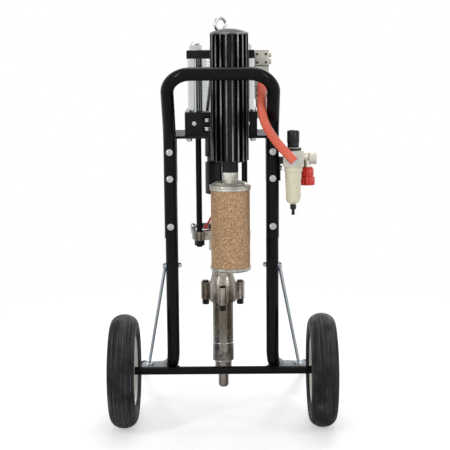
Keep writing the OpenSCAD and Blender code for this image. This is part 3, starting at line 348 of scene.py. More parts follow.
def black_anodised(name, hues):
    s = Surface(name, hues.anodised, 0.32, 0.1)
    column = middle("finned_column")
    low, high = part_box("finned_column")
    rim = (high.x - low.x) / 2
    # Painted highlight: the fin crests are found by their distance from the column's axis, broken up by noise, and
    # lightened to grey.
    crest = s.between(s.radius((column.x, low.y + rim, 0)), rim - 0.0016, rim - 0.0004)
    painted_crest_highlight = s.math("MULTIPLY", crest, s.between(s.noise(35, 4, stretch=(1, 1, 0.2)), 0.35, 0.62))
    s.paint(s.blend(painted_crest_highlight, s.tint, (0.34, 0.34, 0.35)))
    s.rough(s.between(s.noise(50), 0.3, 0.7, 0.24, 0.4))
    s.bump(s.noise(260, 2, stretch=(1, 1, 0.1)), 0.08, 0.0003)
    s.set("Specular IOR Level", 0.25)
    return s.material


def cast_cap(name, hues):
    s = Surface(name, hues.cap, 0.36, 0.6)
    stain = s.between(s.noise(45, 5), 0.35, 0.72)
    s.paint(s.blend(stain, s.shade(1.12), s.shade(0.66)))
    s.rough(s.between(s.noise(80), 0.3, 0.7, 0.28, 0.48))
    s.bump(s.noise(420, 3), 0.3, 0.0005)
    return s.material


def bronze_mesh(name, hues):
    s = Surface(name, hues.mesh, 0.5, 0.25)
    grain = s.noise(260, 3)
    speck = s.noise(190, 2, offset=(0.3, 0.2, 0.1))
    coarse = s.noise(120, 4, stretch=(1, 1, 0.8))
    bands = s.noise(30, 2, stretch=(1, 1, 0.03))
    body = s.blend(s.between(bands, 0.38, 0.62), s.shade(0.84), s.shade(1.12))
    body = s.blend(s.between(coarse, 0.35, 0.65), body, s.shade(0.94))
    dark = s.blend(s.between(grain, 0.36, 0.58), s.shade(0.42), body)
    s.paint(s.blend(s.math("MULTIPLY", s.between(speck, 0.56, 0.70), 0.7), dark, (0.90, 0.68, 0.42)))
    s.rough(s.between(grain, 0.3, 0.7, 0.4, 0.65))
    s.bump(grain, 0.7, 0.0012)
    s.bump(speck, 0.5, 0.0010)
    return s.material


def plated_iron(name, hues):
    s = Surface(name, hues.gunmetal, 0.3, 1.0)
    patch = s.between(s.noise(13, 3, stretch=(1, 1, 0.35)), 0.38, 0.62)
    warm = s.blend(patch, s.shade(1.5), (0.16, 0.13, 0.10))
    blue = s.between(s.noise(9, 2, stretch=(1, 1, 0.5), offset=(0.4, 0.1, 0.2)), 0.50, 0.66)
    cool = s.blend(s.math("MULTIPLY", blue, 0.6), warm, (0.16, 0.20, 0.28))
    scale = s.between(s.noise(90, 4), 0.52, 0.72)
    s.paint(s.blend(s.math("MULTIPLY", scale, 0.4), cool, s.shade(0.5)))
    s.rough(s.between(s.noise(60, 3), 0.3, 0.7, 0.2, 0.4))
    s.bump(s.noise(260, 3), 0.22, 0.0006)
    return s.material


def black_oxide(name, hues):
    s = Surface(name, hues.plastic, 0.35, 0.5)
    rub = s.between(s.noise(50, 3, stretch=(1, 1, 0.1)), 0.55, 0.75)
    s.paint(s.blend(s.math("MULTIPLY", rub, 0.4), s.tint, (0.06, 0.06, 0.06)))
    s.rough(s.between(s.noise(70), 0.3, 0.7, 0.26, 0.42))
    s.set("Specular IOR Level", 0.2)
    return s.material


def tyre_rubber(name, hues):
    s = Surface(name, hues.rubber, 0.55)
    # Dust and painted sheen: grey streaks run round the tread in random patches. They stand partly for dust and partly
    # for sheen on the rubber.
    dust_and_sheen_streaks = s.noise(5, 4, stretch=(120, 1, 1))
    dust = s.math("MULTIPLY", s.between(dust_and_sheen_streaks, 0.44, 0.66), s.between(s.noise(16), 0.3, 0.6))
    s.paint(s.blend(s.math("MULTIPLY", dust, 0.7), s.tint, (0.15, 0.153, 0.157)))
    s.rough(s.between(s.noise(30), 0.3, 0.7, 0.42, 0.62))
    s.bump(s.noise(480, 3), 0.25, 0.0004)
    s.set("Specular IOR Level", 0.15)
    return s.material


def rim_enamel(name, hues):
    s = Surface(name, hues.rim, 0.34)
    grime = s.between(s.noise(24, 5), 0.5, 0.75)
    s.paint(s.blend(s.math("MULTIPLY", grime, 0.5), s.tint, s.shade(0.72)))
    s.rough(s.between(s.noise(20), 0.3, 0.7, 0.26, 0.46))
    s.bump(s.noise(420, 2), 0.08, 0.0003)
    s.set("Coat Weight", 0.2)
    return s.material


def ground_steel(name, hues):
    s = Surface(name, hues.zinc, 0.3, 1.0)
    s.paint(s.blend(s.noise(200), s.shade(0.6), s.shade(0.85)))
    s.bump(s.noise(800), 0.06, 0.0002)
    return s.material


def plated_fitting(name, hues):
    s = Surface(name, hues.steel, 0.18, 1.0)
    s.paint(s.blend(s.noise(60), s.shade(0.78), s.shade(1.02)))
    s.rough(s.between(s.noise(110), 0.3, 0.7, 0.12, 0.26))
    s.bump(s.noise(500), 0.06, 0.0002)
    return s.material


def plated_brass(name, hues):
    s = Surface(name, hues.brass, 0.28, 0.9)
    s.paint(s.blend(s.between(s.noise(50, 4), 0.35, 0.65), s.shade(1.12), (0.74, 0.72, 0.66)))
    s.rough(s.between(s.noise(130), 0.3, 0.7, 0.2, 0.36))
    s.bump(s.noise(600), 0.1, 0.0002)
    return s.material


def moulded(name, tint, roughness, grain=900):
    s = Surface(name, tint, roughness)
    s.paint(s.blend(s.noise(30), s.shade(0.88), s.shade(1.1)))
    s.rough(s.between(s.noise(60), 0.3, 0.7, roughness - 0.06, roughness + 0.08))
    s.bump(s.noise(grain, 2), 0.1, 0.0002)
    return s


def black_plastic(name, hues):
    s = moulded(name, hues.plastic, 0.3)
    s.set("Specular IOR Level", 0.3)
    return s.material


def red_plastic(name, hues):
    return moulded(name, hues.red, 0.3).material


def cream_plastic(name, hues):
    s = moulded(name, hues.bowl, 0.3, 500)
    s.set("Subsurface Weight", 0.15)
    s.set("Subsurface Radius", (0.004, 0.003, 0.002))
    s.set("Coat Weight", 0.3)
    return s.material


def needle_paint(name, hues):
    return moulded(name, hues.plastic, 0.4).material


def hose_cover(name, hues):
    s = moulded(name, hues.hose, 0.42, 260)
    s.set("Subsurface Weight", 0.05)
    s.set("Subsurface Radius", (0.004, 0.002, 0.001))
    return s.material


def dial_enamel(name, hues):
    s = Surface(name, (0.82, 0.82, 0.80), 0.4)
    s.paint(s.blend(s.noise(60), s.shade(0.96), s.shade(1.03)))
    s.bump(s.noise(900), 0.03, 0.0001)
    return s.material


def clear_lens(name, hues):
    s = Surface(name, (0.97, 0.98, 0.98), 0.04)
    s.rough(s.between(s.noise(40), 0.3, 0.7, 0.02, 0.07))
    s.set("Transmission Weight", 1.0)
    s.set("IOR", 1.3)
    return s.material


FINISHES = {
    "dial_white": dial_enamel,
    "clear_lens": clear_lens,
    "frame_black": powder_coat,
    "plate_grey": dark_plate,
    "galvanised": galvanised,
    "zinc_steel": zinc_plate,
    "black_plastic": black_plastic,
    "tyre_rubber": tyre_rubber,
    "rim_paint": rim_enamel,
    "bearing_steel": ground_steel,
    "motor_casting": motor_paint,
    "polished_steel": polished_steel,
    "piston_alloy": turned_alloy,
    "valve_casting": valve_alloy,
    "black_anodised": black_anodised,
    "cast_grey": cast_cap,
    "bronze_mesh": bronze_mesh,
    "gunmetal": plated_iron,
    "dark_steel": black_oxide,
    "fitting_chrome": plated_fitting,
    "inlet_brass": plated_brass,
    "red_plastic": red_plastic,
    "cream_plastic": cream_plastic,
    "needle_red": needle_paint,
    "hose_coral": hose_cover,
}


def finish(slot):
    """The material of a slot, made the first time it is asked for."""
    name = slot + "_finish"
    made = bpy.data.materials.get(name)
    return made or FINISHES[slot](name, bpy.context.scene.sprayer_colours)


# Shapes


def filleted(points, radius, steps=4):
    """A chain of (radius, height) points with its inner corners rounded."""
    chain = [Vector(p) for p in points]
    out = [chain[0]]
    for before, corner, after in zip(chain, chain[1:], chain[2:]):
        way_in = before - corner
        way_out = after - corner
        reach = min(radius, way_in.length * 0.45, way_out.length * 0.45)
        start = corner + way_in.normalized() * reach
        end = corner + way_out.normalized() * reach
        for i in range(steps + 1):
            t = i / steps
            out.append(start * (1 - t) ** 2 + corner * 2 * t * (1 - t) + end * t * t)
    out.append(chain[-1])
    return out


def spindle(centre, axis="Z"):
    """Places a shape made round Z at a centre, with Z turned to the axis."""
    turn = AXES["Z"].rotation_difference(Vector(AXES[axis]) if isinstance(axis, str) else Vector(axis))
    return Matrix.Translation(centre) @ turn.to_matrix().to_4x4()


def lathe(bm, profile, centre, axis="Z", steps=64, closed=False):
    """Turns a profile of (radius, height) points, in metres, round an axis through centre."""
    place = spindle(centre, axis)
    verts = [bm.verts.new(place @ Vector((r, 0, h))) for r, h in profile]
    ends = verts[1:] + verts[:1] if closed else verts[1:]
    edges = [bm.edges.new(pair) for pair in zip(verts, ends)]
    way = place.to_3x3() @ AXES["Z"]
    bmesh.ops.spin(
        bm, geom=verts + edges, cent=centre, axis=way, angle=FULL_TURN, steps=steps, use_merge=True
    )


def prism(bm, sides, flats, height, centre, axis="Z", chamfer=0.0, spin=0.0):
    """A nut-like prism from its centre along the axis, with chamfered ends."""
    radius = flats / 2 / math.cos(math.pi / sides)
    place = spindle(centre, axis) @ Matrix.Rotation(spin, 4, "Z") @ Matrix.Translation((0, 0, height / 2))
    made = bmesh.ops.create_cone(
        bm, cap_ends=True, segments=sides, radius1=radius, radius2=radius, depth=height, matrix=place
    )
    if chamfer:
        rim = [e for v in made["verts"] for e in v.link_edges]
        soften(bm, set(rim), chamfer, 2)


def slab(bm, size, centre, ease=0.0):
    """A box of a size round a centre, with its edges eased."""
    place = Matrix.Translation(centre) @ Matrix.Diagonal((*size, 1))
    made = bmesh.ops.create_cube(bm, size=1, matrix=place)
    if ease:
        soften(bm, {e for v in made["verts"] for e in v.link_edges}, ease, 3)


def soften(bm, edges, offset, segments):
    bmesh.ops.bevel(
        bm, geom=list(edges), offset=offset, offset_type="OFFSET", segments=segments, profile=0.5,
        affect="EDGES", clamp_overlap=True, material=-1,
    )


def ribbed(bm, radius, depth, ribs, height, centre, ease):
    """A grip with ribs round it: every second pair of corners is drawn in."""
    made = bmesh.ops.create_circle(
        bm, cap_ends=True, segments=ribs * 4, radius=radius, matrix=Matrix.Translation(centre)
    )
    ring = made["verts"]
    for i, v in enumerate(ring):
        if i % 4 > 1:
            v.co.xy = centre.xy + (v.co.xy - centre.xy) * (1 - depth / radius)
    face = ring[0].link_faces[0]
    raised = bmesh.ops.extrude_face_region(bm, geom=[face])
    top = [v for v in raised["geom"] if isinstance(v, bmesh.types.BMVert)]
    bmesh.ops.translate(bm, verts=top, vec=(0, 0, height))
    lids = {e for v in top for e in v.link_edges if all(abs(w.co.z - centre.z - height) < 1e-7 for w in e.verts)}
    soften(bm, lids, ease, 2)


def piece(name, bm, body, slot, replaces=(), sharp=35):
    """Makes an object of a finished bmesh, riding on a body."""
    bmesh.ops.remove_doubles(bm, verts=bm.verts, dist=1e-6)
    bmesh.ops.recalc_face_normals(bm, faces=bm.faces)
    mesh = bpy.data.meshes.new(name)
    bm.to_mesh(mesh)
    bm.free()
    mesh.shade_smooth()
    mesh.set_sharp_from_angle(angle=math.radians(sharp))
    thing = bpy.data.objects.new(name, mesh)
    bpy.context.scene.collection.objects.link(thing)
    mesh.materials.append(finish(slot))
    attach(thing, body)
    if replaces:
        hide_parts(*replaces)
    return thing


def body_of(node):
    return next(b for b, nodes in frame["record"]["behaviour"]["bodies"].items() if node in nodes)


def slot_of(node):
    return next(s["material_slot"] for s in frame["record"]["subparts"] if s["node"] == node)


def eased(node, radius, name=None):
    """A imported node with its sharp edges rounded."""
    bm = bmesh.new()
    bm.from_mesh(frame["nodes"][node].data)
    bmesh.ops.remove_doubles(bm, verts=bm.verts, dist=2e-6)
    flat = math.radians(0.6)
    bmesh.ops.dissolve_limit(bm, angle_limit=flat, verts=bm.verts, edges=bm.edges)
    thing = piece(name or node + "_dressed", bm, body_of(node), slot_of(node), (node,), 40)
    round_off = thing.modifiers.new("Rounded edges", "BEVEL")
    round_off.width = radius
    round_off.segments = 2
    round_off.limit_method = "ANGLE"
    round_off.angle_limit = math.radians(38)
    round_off.harden_normals = True
    return thing


# Pieces

HOSE_ROUTE = (
    (122, -20, 1075), (121, -48, 1068), (120, -72, 1046), (119, -90, 1015), (119, -104, 985),
    (124, -113, 955), (136, -114, 926), (154, -113, 898), (174, -115, 873), (191, -120, 855), (206, -127, 839), (211, -130, 833),
)


def curve_through(points, steps=6):
    """A smooth run of points through the given ones."""
    ends = [points[0] * 2 - points[1], *points, points[-1] * 2 - points[-2]]
    run = []
    for a, b, c, d in zip(ends, ends[1:], ends[2:], ends[3:]):
        for i in range(steps):
            t = i / steps
            run.append(
                0.5 * (2 * b + (c - a) * t + (2 * a - 5 * b + 4 * c - d) * t * t + (3 * b - a - 3 * c + d) * t ** 3)
            )
    return [*run, points[-1]]


class SPRAYER_OT_camera(bpy.types.Operator):
    """Place the camera behind the push bar"""

    bl_idname = "sprayer.camera"
    bl_label = "Camera"

    def execute(self, context):
        stage = context.scene.sprayer_stage
        data = bpy.data.cameras.new("Camera")
        data.lens = stage.lens
        data.sensor_width = 36
        camera = bpy.data.objects.new("Camera", data)
        context.scene.collection.objects.link(camera)
        aim = Matrix.Rotation(-stage.yaw, 4, "Z") @ Matrix.Rotation(math.pi / 2 - stage.pitch, 4, "X")
        spot = Matrix.Translation((stage.camera_x, -stage.camera_back, stage.camera_z))
        camera.matrix_world = spot @ aim @ Matrix.Rotation(stage.roll, 4, "Z")
        context.scene.camera = camera
        return {"FINISHED"}


class SPRAYER_OT_air_hose(bpy.types.Operator):
    """Run the air hose from the motor's valve to the regulator"""

    bl_idname = "sprayer.air_hose"
    bl_label = "Air hose"

    def execute(self, context):
        radius = context.scene.sprayer_sizes.hose_radius
        route = curve_through([cart(*p) for p in HOSE_ROUTE])
        data = bpy.data.curves.new("hose", "CURVE")
        data.dimensions = "3D"
        data.bevel_depth = radius
        data.bevel_resolution = 6
        data.use_fill_caps = True
        spline = data.splines.new("POLY")
        spline.points.add(len(route) - 1)
        for point, place in zip(spline.points, route):
            point.co = (*place, 1)
        spline.use_smooth = True
        data.materials.append(finish("hose_coral"))
        hose = bpy.data.objects.new("hose", data)
        context.scene.collection.objects.link(hose)
        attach(hose, "cart")
        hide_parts("air_hose")
        return {"FINISHED"}


class SPRAYER_OT_finishes(bpy.types.Operator):
    """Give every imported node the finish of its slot"""

    bl_idname = "sprayer.finishes"
    bl_label = "Finishes"

    def execute(self, context):
        for part in frame["record"]["subparts"]:
            mesh = frame["nodes"][part["node"]].data
            mesh.materials.clear()
            mesh.materials.append(finish(part["material_slot"]))
        return {"FINISHED"}


class SPRAYER_OT_stage(bpy.types.Operator):
    """Set the floor, the lamps and the white surround"""

    bl_idname = "sprayer.stage"
    bl_label = "Stage"

    def floor_material(self, tint):
        material = bpy.data.materials.new("floor")
        material.use_nodes = True
        nodes, links = material.node_tree.nodes, material.node_tree.links
        nodes.clear()
        out = nodes.new("ShaderNodeOutputMaterial")
        paper = nodes.new("ShaderNodeBsdfDiffuse")
        paper.inputs["Color"].default_value = (*tint, 1)
        glow = nodes.new("ShaderNodeEmission")
        rays = nodes.new("ShaderNodeLightPath")
        seen = nodes.new("ShaderNodeMath")
        seen.operation = "MULTIPLY"
        seen.inputs[1].default_value = 0.42
        links.new(rays.outputs["Is Camera Ray"], seen.inputs[0])
        links.new(seen.outputs[0], glow.inputs["Strength"])
        lit = nodes.new("ShaderNodeAddShader")
        links.new(paper.outputs[0], lit.inputs[0])
        links.new(glow.outputs[0], lit.inputs[1])
        place = nodes.new("ShaderNodeTexCoord")
        reach = nodes.new("ShaderNodeVectorMath")
        reach.operation = "LENGTH"
        links.new(place.outputs["Object"], reach.inputs[0])
        fade = nodes.new("ShaderNodeMapRange")
        fade.interpolation_type = "SMOOTHSTEP"
        fade.inputs["From Min"].default_value = 0.9
        fade.inputs["From Max"].default_value = 1.9
        links.new(reach.outputs["Value"], fade.inputs["Value"])
        clear = nodes.new("ShaderNodeBsdfTransparent")
        mixed = nodes.new("ShaderNodeMixShader")
        links.new(fade.outputs["Result"], mixed.inputs[0])
        links.new(lit.outputs[0], mixed.inputs[1])
        links.new(clear.outputs[0], mixed.inputs[2])
        links.new(mixed.outputs[0], out.inputs["Surface"])
        return material

    def lamp(self, name, power, spot, size, target):
        data = bpy.data.lights.new(name, "AREA")
        data.energy = power
        data.shape = "RECTANGLE"
        data.size, data.size_y = size
        lamp = bpy.data.objects.new(name, data)
        bpy.context.scene.collection.objects.link(lamp)
        lamp.location = spot
        lamp.rotation_euler = (Vector(target) - Vector(spot)).to_track_quat("-Z", "Y").to_euler()

    def surround(self, scene):
        world = bpy.data.worlds.new("surround")
        world.use_nodes = True
        nodes, links = world.node_tree.nodes, world.node_tree.links
        background = nodes["Background"]
        rays = nodes.new("ShaderNodeLightPath")
        seen = nodes.new("ShaderNodeMath")
        seen.operation = "MAXIMUM"
        links.new(rays.outputs["Is Camera Ray"], seen.inputs[0])
        mirrored = nodes.new("ShaderNodeMath")
        mirrored.operation = "MAXIMUM"
        links.new(rays.outputs["Is Glossy Ray"], mirrored.inputs[0])
        links.new(rays.outputs["Is Transmission Ray"], mirrored.inputs[1])
        links.new(mirrored.outputs[0], seen.inputs[1])
        strength = nodes.new("ShaderNodeMapRange")
        strength.inputs["To Min"].default_value = 0.42
        strength.inputs["To Max"].default_value = 1.0
        links.new(seen.outputs[0], strength.inputs["Value"])
        background.inputs["Color"].default_value = (1, 1, 1, 1)
        links.new(strength.outputs["Result"], background.inputs["Strength"])
        scene.world = world

    def execute(self, context):
        stage = context.scene.sprayer_stage
        bm = bmesh.new()
        bmesh.ops.create_grid(bm, x_segments=2, y_segments=2, size=2.0)
        mesh = bpy.data.meshes.new("floor")
        bm.to_mesh(mesh)
        bm.free()
        mesh.materials.append(self.floor_material(stage.floor))
        floor = bpy.data.objects.new("floor", mesh)
        context.scene.collection.objects.link(floor)
        target = (0, 0, 0.62)
        self.lamp("Key lamp", stage.key, (-2.3, -2.5, 2.1), (0.3, 2.0), target)
        self.lamp("Fill lamp", stage.fill, (2.5, -2.2, 1.8), (0.3, 2.0), target)
        self.lamp("Top lamp", stage.top, (0.1, 0.5, 3.1), (1.6, 1.6), target)
        self.lamp("Far lamp", stage.fill, (1.2, 2.8, 1.9), (1.4, 1.4), target)
        self.surround(context.scene)
        context.scene.view_settings.view_transform = "Standard"
        return {"FINISHED"}


class SPRAYER_OT_wheels(bpy.types.Operator):
    """Fit the ribbed tyres and the dished rims"""

    bl_idname = "sprayer.wheels"
    bl_label = "Wheels"

    def tyre_profile(self, radius, half, bead, ribs, depth):
        """Half round section from one bead over the tread to the other, with its grooves."""
        mid = (radius + bead + 10 * MM) / 2
        rise = radius - mid
        reach = math.radians(128)
        count = ribs * 4
        points = []
        for i in range(count + 1):
            a = -math.radians(66) + math.radians(132) * i / count
            drop = depth if i % 4 > 1 else 0.0
            points.append(((mid + (rise - drop) * math.cos(a)), (half - drop) * math.sin(a)))
        side = []
        for i in range(1, 15):
            a = math.radians(66) + (reach - math.radians(66)) * i / 14
            ring = 0.5 * MM if i in (4, 9) else 0.0
            side.append((mid + (rise + ring) * math.cos(a), (half + ring * 0.5) * math.sin(a) - ring))
        side.append((bead + 9.5 * MM, half * 0.74))
        near = [(r, -h) for r, h in reversed(side)]
        inner = [(bead + 2 * MM, half * 0.70), (bead + 2 * MM, -half * 0.70)]
        return near + points + side + inner

    def execute(self, context):
        sizes = context.scene.sprayer_sizes
        for side, sign in zip(SIDES, (-1, 1)):
            low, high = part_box("tyre_" + side)
            centre = (low + high) / 2
            radius, half = (high.z - low.z) / 2, (high.x - low.x) / 2
            bead = 101.5 * MM
            bm = bmesh.new()
            lathe(
                bm, self.tyre_profile(radius, half, bead, sizes.tread_ribs, sizes.rib_depth), centre, "X", 96,
                closed=True,
            )
            piece("tyre_" + side + "_ribbed", bm, "wheel_" + side, "tyre_rubber", ("tyre_" + side,), 28)
            self.rim(side, centre, bead)
            self.valve(side, sign, centre, bead)
        return {"FINISHED"}

    def rim(self, side, centre, bead):
        half = 29 * MM
        wall = 3 * MM
        lip = bead + 9 * MM
        hub = (30 * MM, 29 * MM, 23.5 * MM)
        web = 5 * MM
        profile = [
            (hub[2], hub[1]), (hub[0], hub[1]), (hub[0], web + 4 * MM), (hub[0] + 6 * MM, web),
            (bead - 22 * MM, web - 2 * MM), (bead - 10 * MM, web + 3 * MM), (bead - 5 * MM, half * 0.5),
            (bead - wall, half - 2 * MM), (bead - 1 * MM, half + wall), (lip - 1 * MM, half + wall), (lip, half + 1 * MM),
            (lip - 1 * MM, half), (bead + 1 * MM, half), (bead, half - 2 * MM), (bead, -half + 2 * MM),
            (bead + 1 * MM, -half), (lip - 1 * MM, -half), (lip, -half - 1 * MM), (lip - 1 * MM, -half - wall),
            (bead - 1 * MM, -half - wall), (bead - wall, -half + 2 * MM), (bead - 5 * MM, -half * 0.5),
            (bead - 10 * MM, -web + 1 * MM), (bead - 22 * MM, -web), (hub[0] + 6 * MM, -web), (hub[0], -web - 4 * MM),
            (hub[0], -hub[1]), (hub[2], -hub[1]),
        ]
        bm = bmesh.new()
        lathe(bm, filleted(profile, 3 * MM, 3), centre, "X", 80, closed=True)
        piece("rim_" + side + "_dished", bm, "wheel_" + side, "rim_paint", ("rim_" + side,), 30)

    def valve(self, side, sign, centre, bead):
        foot = centre + Vector((sign * 20 * MM, -(bead - 4 * MM) * 0.5, (bead - 4 * MM) * 0.866))
        way = Vector((sign * 0.8, 0.3, -0.52))
        stem = [(0, 0), (4.2 * MM, 0), (4.2 * MM, 6 * MM), (3 * MM, 8 * MM), (3 * MM, 20 * MM), (0, 20 * MM)]
        bm = bmesh.new()
        lathe(bm, filleted(stem, 0.8 * MM, 2), foot, way, 20)
        piece("tyre_valve_" + side, bm, "wheel_" + side, "black_plastic")


class SPRAYER_OT_bolts(bpy.types.Operator):
    """Cap the frame's bolts with domed socket heads"""

    bl_idname = "sprayer.bolts"
    bl_label = "Frame bolts"

    def execute(self, context):
        dome = context.scene.sprayer_sizes.bolt_dome
        eased("frame_fasteners", 0.5 * MM)
        bm = bmesh.new()
        for x in (-152, 152):
            for z in (855, 776, 633):
                self.head(bm, cart(x, -57.2, z), dome)
        piece("handle_bolt_heads", bm, "cart", "zinc_steel", (), 30)
        return {"FINISHED"}

    def head(self, bm, seat, dome):
        socket = 3.6 * MM
        crown = [(0, 0), (10.3 * MM, 0), (10.3 * MM, 2.2 * MM)]
        for i in range(1, 8):
            a = math.pi / 2 * i / 9
            crown.append((10.3 * MM * math.cos(a), 2.2 * MM + (dome - 1.2 * MM) * math.sin(a)))
        crown += [(socket + 0.6 * MM, dome + 0.9 * MM), (socket, dome + 0.5 * MM), (socket * 0.95, 3.0 * MM), (0, 2.6 * MM)]
        lathe(bm, crown, seat, (0, -1, 0), 32)


class SPRAYER_OT_cart(bpy.types.Operator):
    """Round the plate, braces and foot caps of the cart and lay the weld beads"""

    bl_idname = "sprayer.cart"
    bl_label = "Cart"

    def weld(self, bm, centre, radius, axis, bead, ripples=26):
        """A rippled bead round a joint."""
        steps = ripples * 4
        place = spindle(centre, axis)
        rings = []
        for i in range(steps):
            a = FULL_TURN * i / steps
            swell = bead * (1 + 0.18 * math.cos(a * ripples))
            ring = []
            for k in range(8):
                b = FULL_TURN * k / 8
                r = radius + swell * math.cos(b)
                ring.append(bm.verts.new(place @ Vector((r * math.cos(a), r * math.sin(a), swell * math.sin(b)))))
            rings.append(ring)
        for ring, after in zip(rings, rings[1:] + rings[:1]):
            for k in range(8):
                bm.faces.new((ring[k], ring[k - 1], after[k - 1], after[k]))

    def execute(self, context):
        eased("motor_plate", 1.2 * MM)
        for side in SIDES:
            eased("brace_" + side, 0.8 * MM)
        eased("foot_caps", 1.2 * MM)
        bm = bmesh.new()
        axle = at("axle_tube")
        tube = 12.5 * MM
        for x in (-152, 152):
            self.weld(bm, Vector((x * MM, axle.y, axle.z + tube * 0.86)), 17.6 * MM, "Z", 2.2 * MM)
        piece("axle_welds", bm, "cart", "frame_black", (), 60)
        return {"FINISHED"}


def socket_screw(bm, seat, radius, height, axis):
    """A cap screw's head with a round socket."""
    key = radius * 0.52
    side = [
        (0, 0), (radius, 0), (radius, height), (key * 1.06, height), (key, height * 0.96), (key, height * 0.35),
        (0, height * 0.3),
    ]
    lathe(bm, filleted(side, radius * 0.12, 2), seat, axis, 24)


class SPRAYER_OT_air_motor(bpy.types.Operator):
    """Dress the air motor: end plates, cap nuts, screws and port plugs"""

    bl_idname = "sprayer.air_motor"
    bl_label = "Air motor"

    def execute(self, context):
        round_off = context.scene.sprayer_sizes.edge_round
        eased("motor_base", round_off * 1.6)
        eased("motor_top_plate", round_off * 1.6)
        eased("motor_tie_rods", round_off * 0.8)
        eased("rod_guard", round_off * 0.6)
        low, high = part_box("motor_base")
        face = low.y
        foot = 898
        screws = bmesh.new()
        for x in (-80, 80):
            socket_screw(screws, Vector((x * MM, face, (foot + 37) * MM)), 6.5 * MM, 5 * MM, (0, -1, 0))
        piece("base_screws", screws, "cart", "polished_steel", (), 30)
        small = bmesh.new()
        for x in (-80, 80):
            for z in (foot + 12, foot + 22):
                socket_screw(small, Vector((x * MM, face, z * MM)), 3.2 * MM, 2.4 * MM, (0, -1, 0))
        piece("base_set_screws", small, "cart", "dark_steel", (), 30)
        plugs = bmesh.new()
        for z in (foot + 20, foot + 46):
            slab(plugs, (17 * MM, 6 * MM, 13 * MM), Vector((-40 * MM, face + 7 * MM, z * MM)), 1.5 * MM)
            prism(plugs, 4, 8 * MM, 6 * MM, Vector((-40 * MM, face + 4.5 * MM, z * MM)), (0, -1, 0), 0.6 * MM, math.pi / 4)
        piece("base_port_plugs", plugs, "cart", "fitting_chrome", (), 30)
        return {"FINISHED"}


class SPRAYER_OT_air_valve(bpy.types.Operator):
    """Dress the air valve: rounded casting, cover, screws and hose ends"""

    bl_idname = "sprayer.air_valve"
    bl_label = "Air valve"

    def execute(self, context):
        round_off = context.scene.sprayer_sizes.edge_round
        eased("air_valve_body", round_off * 2)
        eased("valve_end_caps", round_off)
        eased("valve_manifold", round_off * 1.5)
        eased("hose_fittings", round_off * 0.6)
        low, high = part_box("air_valve_body")
        across = (low.x + high.x) / 2
        cover = bmesh.new()
        size = (high.x - low.x) * 0.86
        slab(cover, (size, 3 * MM, 34 * MM), Vector((across, low.y - 1 * MM, high.z - 24 * MM)), 1.2 * MM)
        slab(cover, (size * 0.9, 3 * MM, 26 * MM), Vector((across, low.y - 1 * MM, low.z + 20 * MM)), 1.2 * MM)
        piece("valve_covers", cover, "cart", "valve_casting", (), 30)
        screws = bmesh.new()
        for x in (-13, 13):
            for z in (high.z - 36 * MM, high.z - 12 * MM, low.z + 11 * MM, low.z + 29 * MM):
                socket_screw(screws, Vector((across + x * MM, low.y - 2.4 * MM, z)), 3.4 * MM, 2.6 * MM, (0, -1, 0))
        piece("valve_screws", screws, "cart", "dark_steel", (), 30)
        seams = bmesh.new()
        for z in (high.z - 46 * MM, low.z + 38 * MM):
            slab(seams, (high.x - low.x + 0.8 * MM, high.y - low.y + 0.8 * MM, 3 * MM), Vector((across, (low.y + high.y) / 2, z)), 0.6 * MM)
        piece("valve_gaskets", seams, "cart", "black_plastic", (), 30)
        return {"FINISHED"}


class SPRAYER_OT_column(bpy.types.Operator):
    """Round the exhaust column's domed cap, base and bracket"""

    bl_idname = "sprayer.column"
    bl_label = "Exhaust column"

    def execute(self, context):
        eased("column_cap", 1.0 * MM)
        eased("column_base", 1.0 * MM)
        eased("column_bracket", 0.8 * MM)
        return {"FINISHED"}


